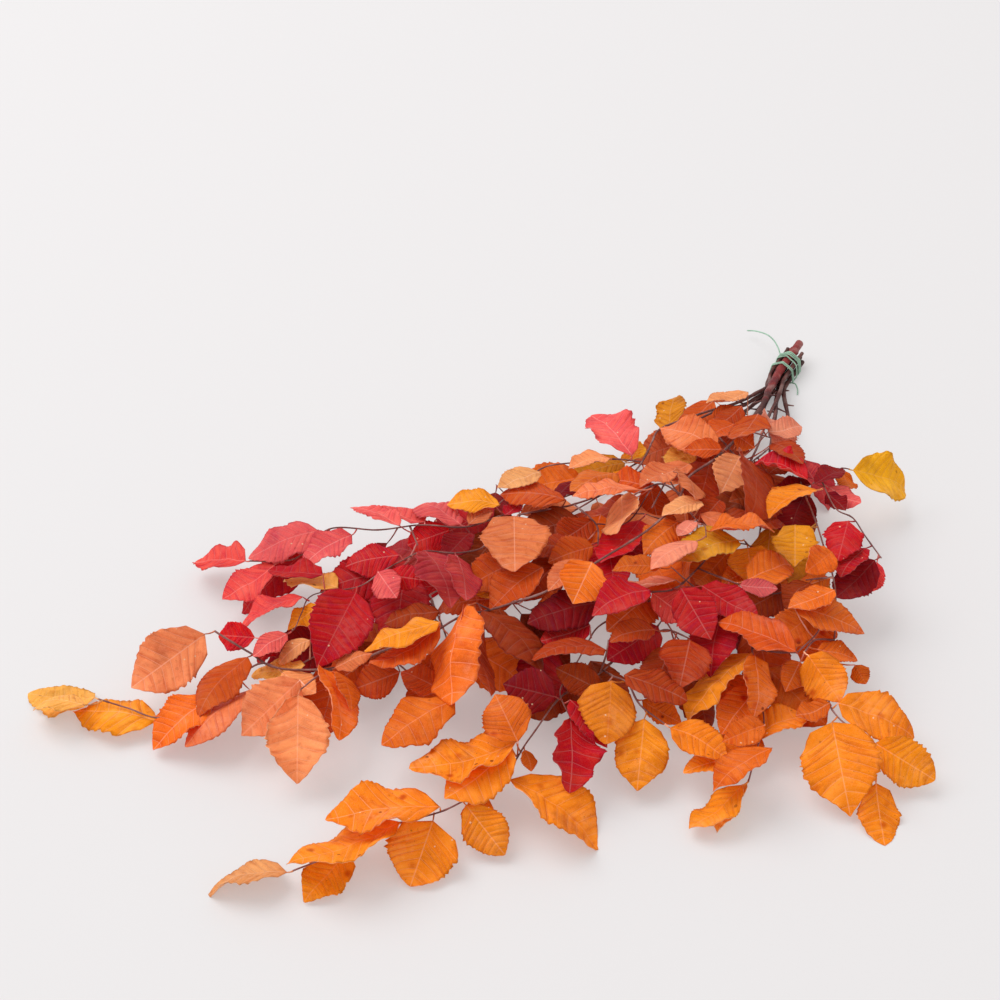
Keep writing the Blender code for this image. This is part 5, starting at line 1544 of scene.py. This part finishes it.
def add_blade(sheet, blade, laid, index):
    """Adds a blade in the fullest shape that clears the others, and returns its points."""
    faces = blade.faces()
    best = None
    for amount in AMOUNTS:
        points = blade.surface(amount)
        met, shape = crossings(points, faces, laid)
        if best is None or met < best[0]:
            best = (met, points, shape)
        if not met:
            break
    _, points, shape = best
    laid.append(shape)
    corner = np.array((MAP_STEPS[0] * (index % MAP_COLUMNS), MAP_STEPS[1] * (index // MAP_COLUMNS)))
    flat = blade.at_points(blade.flat, [0, 0], [blade.leaf.length, 0])
    sheet.add(
        points,
        faces,
        0,
        tone=[blade.tone] * len(points),
        rib=blade.at_points(blade.rib, 0.0, blade.rib.max()),
        from_midrib=[value * MM for value in blade.at_points(blade.from_midrib, 0.0, 0.0)],
        margin=blade.at_points(np.abs(blade.across), 0.0, 1.0),
        spotted=[blade.spotted] * len(points),
        veined=[blade.veined] * len(points),
        place=[(np.array(pair) * MM + corner).tolist() for pair in flat],
    )
    return points


def rings(path, radii, sides, closed_start=True):
    """Rings and faces of a round tube, with both ends closed by a point just beyond the last ring."""
    path = [Vector(place) for place in path]
    ahead = (path[1] - path[0]).normalized()
    across = ahead.orthogonal().normalized()
    points = []
    faces = []
    for i, place in enumerate(path):
        before = ahead
        ahead = (path[min(i + 1, len(path) - 1)] - path[max(i - 1, 0)]).normalized()
        across = before.rotation_difference(ahead) @ across
        across = (across - ahead * across.dot(ahead)).normalized()
        upward = ahead.cross(across)
        for k in range(sides):
            angle = 2 * math.pi * k / sides
            points.append(place + (across * math.cos(angle) + upward * math.sin(angle)) * radii[i])
    for i in range(len(path) - 1):
        for k in range(sides):
            a = i * sides + k
            b = i * sides + (k + 1) % sides
            faces.append((a, b, b + sides, a + sides))
    points.append(path[-1] + ahead * radii[-1])
    top = (len(path) - 1) * sides
    faces += [(top + k, top + (k + 1) % sides, len(points) - 1) for k in range(sides)]
    if closed_start:
        points.append(path[0] - (path[1] - path[0]).normalized() * radii[0] * 0.6)
        faces += [((k + 1) % sides, k, len(points) - 1) for k in range(sides)]
    return points, faces


def along_path(path):
    """The distance run at each place of a path."""
    steps = [0.0]
    for a, b in zip(path, path[1:]):
        steps.append(steps[-1] + (b - a).length)
    return steps


TWIG_BARK_UNDER = 0.7  # a twig with a smaller radius has thin bark, which gets thick over THICK_BARK_RUN
THICK_BARK_RUN = 1.1
RED_BARK_OVER = 2.4  # a stem with a larger radius turns red over RED_BARK_RUN
RED_BARK_RUN = 0.8


def bark_tone(settings, radius):
    """The bark's colour: dark on thick stems, and pinkish on thin twigs."""
    share = min(max((radius - TWIG_BARK_UNDER) / THICK_BARK_RUN, 0.0), 1.0)
    tone = [thin + (thick - thin) * share for thick, thin in zip(settings.thick_bark, settings.thin_bark)]
    red = min(max((radius - RED_BARK_OVER) / RED_BARK_RUN, 0.0), 1.0)
    return [part + (new - part) * red for part, new in zip(tone, settings.red_bark)]


BARE_MIDDLE = 80  # how far from the cut end the bare, crooked part of a stem has its middle
BARE_SPREAD = 28
STUB_CHANCE = 0.8
STUB_LENGTHS = (4, 13)
STUB_RADII = (1.0, 0.7, 0.55)
STUB_BARK = 1.3  # a stub has the bark of a twig with this radius
CUT_FACE_SHARE = 0.8  # how much of a cut end's radius is flat
CUT_FACE_RISE = 0.12  # how far the flat part stands out, as a share of the radius
FULL_RADIUS = 2.6  # a stem with a larger radius is as thick as its solid, and a thinner one less so by degrees
THINNER_RUN = 1.6
KNOT_LENGTH = 1.8
TIP_TAPER = 0.35  # how much thinner a growing end gets over its last TIP_RUN
TIP_RUN = 9
STEM_SIDES = (9, 12)  # round a thin stem, and round one thicker than THICK_STEM
THICK_STEM = 3
STALK_SIDES = 7


def add_stub(sheet, settings, draw, foot, ahead, aside):
    """The stub of a side twig that broke off a stem."""
    way = aside * draw.choice((-1, 1)) + ahead.normalized() * draw.uniform(0.3, 1.2)
    way += Vector((0, 0, draw.uniform(-0.2, 0.8)))
    long = way.normalized() * draw.uniform(*STUB_LENGTHS)
    stub = [foot + long * share for share in (0.0, 0.5, 1.0)]
    points, faces = rings(stub, STUB_RADII, STALK_SIDES)
    sheet.add(points, faces, 0, tone=[bark_tone(settings, STUB_BARK)] * len(points))


def add_cut_face(sheet, settings, rim, out, radius):
    """The flat face of a cut end, with its edge a little rounded."""
    sides = len(rim)
    centre = sum(rim, Vector()) / sides
    inner = [centre + (place - centre) * CUT_FACE_SHARE + out * CUT_FACE_RISE * radius for place in rim]
    edge = [(sides + k, sides + (k + 1) % sides, (k + 1) % sides, k) for k in range(sides)]
    face = [tuple(reversed(range(sides, 2 * sides)))]
    sheet.add(rim + inner, edge + face, 1, tone=[list(settings.cut_wood)] * (2 * sides))


def add_stem(sheet, settings, path, radii, cut, seed):
    """A stem or twig with its knots; a cut end is flat, and a growing end tapers to a bud."""
    draw = random.Random(seed)
    fine = smooth_path(path, settings.ring_step / MM)
    coarse_run = along_path(path)
    run = along_path(fine)
    scale = coarse_run[-1] / max(run[-1], 1e-6)
    radius = np.interp(np.array(run) * scale, coarse_run, radii)
    radius = radius - settings.thinner / MM * (FULL_RADIUS - radius).clip(0, THINNER_RUN) / THINNER_RUN
    step = settings.knot_step / MM
    shift = draw.random() * step
    for i, distance in enumerate(run):
        near = (distance + shift) % step - step / 2
        radius[i] *= 1 + settings.knot_swell * math.exp(-((near / KNOT_LENGTH) ** 2)) + draw.uniform(-0.04, 0.04)
        radius[i] *= 1 - TIP_TAPER * max(0.0, 1 - (run[-1] - distance) / TIP_RUN) * (not cut)
        ahead = fine[min(i + 1, len(fine) - 1)] - fine[max(i - 1, 0)]
        aside = Vector((-ahead.y, ahead.x, 0)).normalized()
        bare = cut * math.exp(-(((distance - BARE_MIDDLE) / BARE_SPREAD) ** 2))
        radius[i] += 0.3 * bare * draw.uniform(0.7, 1.3)
        swing = abs((distance + shift) / step % 2 - 1) - 0.5
        fine[i] = fine[i] + aside * swing * (0.4 + 1.6 * bare) * min(distance / 20, 1)
        if bare > 0.2 and abs(near) < settings.ring_step / MM / 2 and draw.random() < STUB_CHANCE:
            add_stub(sheet, settings, draw, fine[i], ahead, aside)
    sides = STEM_SIDES[max(radii) > THICK_STEM]
    points, faces = rings(fine, radius, sides, not cut)
    tones = [bark_tone(settings, r) for r in radius for _ in range(sides)]
    tones += [tones[-1]] * (len(points) - len(tones))
    sheet.add(points, faces, 0, tone=tones)
    if cut:
        add_cut_face(sheet, settings, points[:sides], (fine[0] - fine[1]).normalized(), radii[0])


STALK_ROWS = 3  # every third row of the blade carries a ring of the midrib
STALK_SHARES = (0.0, 0.33, 0.66)  # where the rings of the stalk lie between the twig and the blade
STALK_RADII = (1.15, 0.95, 0.85)
STALK_SAG = 0.08
STALK_TONE = 0.45
MIDRIB_REACH = 0.9
MIDRIB_RADIUS = 0.56  # at the blade's foot, as a share of the stalk's
MIDRIB_THINNEST = 0.07


def add_stalk(sheet, settings, blade, points):
    """The leaf's stalk from the twig, going on as the midrib almost to the tip."""
    leaf = blade.leaf
    columns = len(ACROSS)
    rows = blade.share.shape[0]
    under = leaf.normal * (settings.stalk_radius / MM * 0.45)
    ribbed = range(0, int(rows * MIDRIB_REACH), STALK_ROWS)
    middle = [Vector(points[1 + i * columns + columns // 2]) - under for i in ribbed]
    span = leaf.base - leaf.start
    sag = Vector((0, 0, -STALK_SAG * span.length))
    first = [leaf.start + span * t + sag * math.sin(math.pi * t) for t in STALK_SHARES]
    path = first + [leaf.base] + middle[1:]
    for place in path:
        place.z = max(place.z, LOWEST + 0.3)
    radius = settings.stalk_radius / MM
    count = len(path)
    radii = [radius * share for share in STALK_RADII]
    left = count - len(radii)
    radii += [radius * MIDRIB_RADIUS * (1 - i / left) ** 0.7 + MIDRIB_THINNEST for i in range(left)]
    ring, faces = rings(path, radii, STALK_SIDES)
    share = STALK_TONE * blade.veined
    stalk = [part * share + tone * (1 - share) for part, tone in zip(linear(STALK), blade.tone)]
    sheet.add(ring, faces, 0, tone=[stalk] * len(ring))


def dress_branch(name, blade_settings, wood_settings, materials, laid):
    """The fine blades and wood of one branch, in place of its solid."""
    wood, leaves = bunch()
    blades = Sheet()
    stems = Sheet()
    for index, (path, radii) in enumerate(wood[name]):
        add_stem(stems, wood_settings, path, radii, index == 0, f"{name} stem {index}")
    for index, (leaf, tone, listed) in enumerate(leaves[name]):
        ruffle = RUFFLED.get((name, index), 1.0)
        blade = Blade(leaf, tone, listed, blade_settings, f"{name} blade {index}", ruffle)
        blade.mark(tone, f"{name} marks {index}")
        points = add_blade(blades, blade, laid, index)
        add_stalk(stems, wood_settings, blade, points)
    short = name.removeprefix("branch_")
    shown = blades.object(f"{short}_blades", (materials["upper"], materials["under"]), "place")
    shell = shown.modifiers.new("Thickness", "SOLIDIFY")
    shell.thickness = blade_settings.thickness
    shell.offset = 0.0
    shell.material_offset = 1
    shell.material_offset_rim = 1
    held = stems.object(f"{short}_wood", (materials["bark"], materials["cut"]))
    for piece in (shown, held):
        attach(piece, "root")
        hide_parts(name)


class BEECH_OT_branches(bpy.types.Operator):
    """Makes the leaves, stalks, twigs and stems of every branch"""

    bl_idname = "beech.branches"
    bl_label = "Branches"

    def execute(self, context):
        blade_settings = context.scene.beech_blades
        wood_settings = context.scene.beech_wood
        materials = {
            "upper": leaf_material(blade_settings, False),
            "under": leaf_material(blade_settings, True),
            "bark": bark_material(),
            "cut": cut_material(wood_settings),
        }
        laid = []
        for name in STEMS:
            dress_branch(name, blade_settings, wood_settings, materials, laid)
        return {"FINISHED"}


class BEECH_OT_wire(bpy.types.Operator):
    """Makes the coated wire that ties the stems"""

    bl_idname = "beech.wire"
    bl_label = "Wire"

    def execute(self, context):
        settings = context.scene.beech_wire
        path = smooth_path(wire_path(), WIRE_FINE_STEP)
        sheet = Sheet()
        points, faces = rings(path, [settings.radius / MM] * len(path), settings.sides)
        sheet.add(points, faces, 0)
        piece = sheet.object("coated_wire", (coating_material(settings),))
        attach(piece, "root")
        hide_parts("tie_wire")
        return {"FINISHED"}


SENSOR_WIDE = 36.0
FURTHEST_SEEN = 50.0
LAMP_PLACE = Vector((-2.55, 1.35, 4.65))
LAMP_AIM = Vector((0.05, 0.0, 0.0))
LAMP_COLOUR = (0.985, 0.99, 1.0)
SKY_COLOUR = (1.0, 0.972, 0.965, 1.0)


class BEECH_OT_stage(bpy.types.Operator):
    """Makes the floor, the light and the camera"""

    bl_idname = "beech.stage"
    bl_label = "Stage"

    def execute(self, context):
        settings = context.scene.beech_stage
        bpy.ops.mesh.primitive_plane_add(size=settings.floor_size)
        floor = context.object
        floor.name = "floor"
        floor.data.materials.append(floor_material(settings))
        lamp = bpy.data.lights.new("soft_lamp", "AREA")
        lamp.shape = "SQUARE"
        lamp.size = settings.lamp_size
        lamp.energy = settings.lamp_power
        lamp.color = LAMP_COLOUR
        lamp_object = bpy.data.objects.new("soft_lamp", lamp)
        lamp_object.location = LAMP_PLACE
        lamp_object.rotation_euler = (LAMP_AIM - LAMP_PLACE).to_track_quat("-Z", "Y").to_euler()
        context.scene.collection.objects.link(lamp_object)
        world = bpy.data.worlds.new("even_light")
        world.use_nodes = True
        background = world.node_tree.nodes["Background"]
        background.inputs["Color"].default_value = SKY_COLOUR
        background.inputs["Strength"].default_value = settings.sky
        context.scene.world = world
        camera = bpy.data.cameras.new("camera")
        camera.lens = settings.lens
        camera.sensor_width = SENSOR_WIDE
        camera.clip_end = FURTHEST_SEEN
        camera_object = bpy.data.objects.new("camera", camera)
        camera_object.location = EYE * MM
        camera_object.rotation_euler = (math.pi / 2 - EYE_PITCH, 0.0, 0.0)
        context.scene.collection.objects.link(camera_object)
        context.scene.camera = camera_object
        context.scene.view_settings.view_transform = "Standard"
        return {"FINISHED"}


class BEECH_PT_panel(bpy.types.Panel):
    """The pieces of the bunch and their settings"""

    bl_idname = "BEECH_PT_panel"
    bl_label = "Beech bunch"
    bl_space_type = "VIEW_3D"
    bl_region_type = "UI"
    bl_category = "Beech bunch"

    def draw(self, context):
        for operator, settings in OPERATORS.items():
            box = self.layout.box()
            box.operator(operator.bl_idname)
            for group in settings:
                for key in GROUPS[group].__annotations__:
                    box.prop(getattr(context.scene, group), key)


GROUPS = {
    "beech_blades": BladeSettings,
    "beech_wood": WoodSettings,
    "beech_wire": WireSettings,
    "beech_stage": StageSettings,
}
OPERATORS = {
    BEECH_OT_branches: ("beech_blades", "beech_wood"),
    BEECH_OT_wire: ("beech_wire",),
    BEECH_OT_stage: ("beech_stage",),
}


def register():
    for made in (*GROUPS.values(), *OPERATORS, BEECH_PT_panel):
        bpy.utils.register_class(made)
    for name, group in GROUPS.items():
        setattr(bpy.types.Scene, name, bpy.props.PointerProperty(type=group))


def unregister():
    for name in GROUPS:
        delattr(bpy.types.Scene, name)
    for made in (BEECH_PT_panel, *reversed(OPERATORS), *reversed(GROUPS.values())):
        bpy.utils.unregister_class(made)


def main():
    register()
    bpy.ops.beech.branches()
    bpy.ops.beech.wire()
    bpy.ops.beech.stage()


if __name__ == "__main__":
    main()
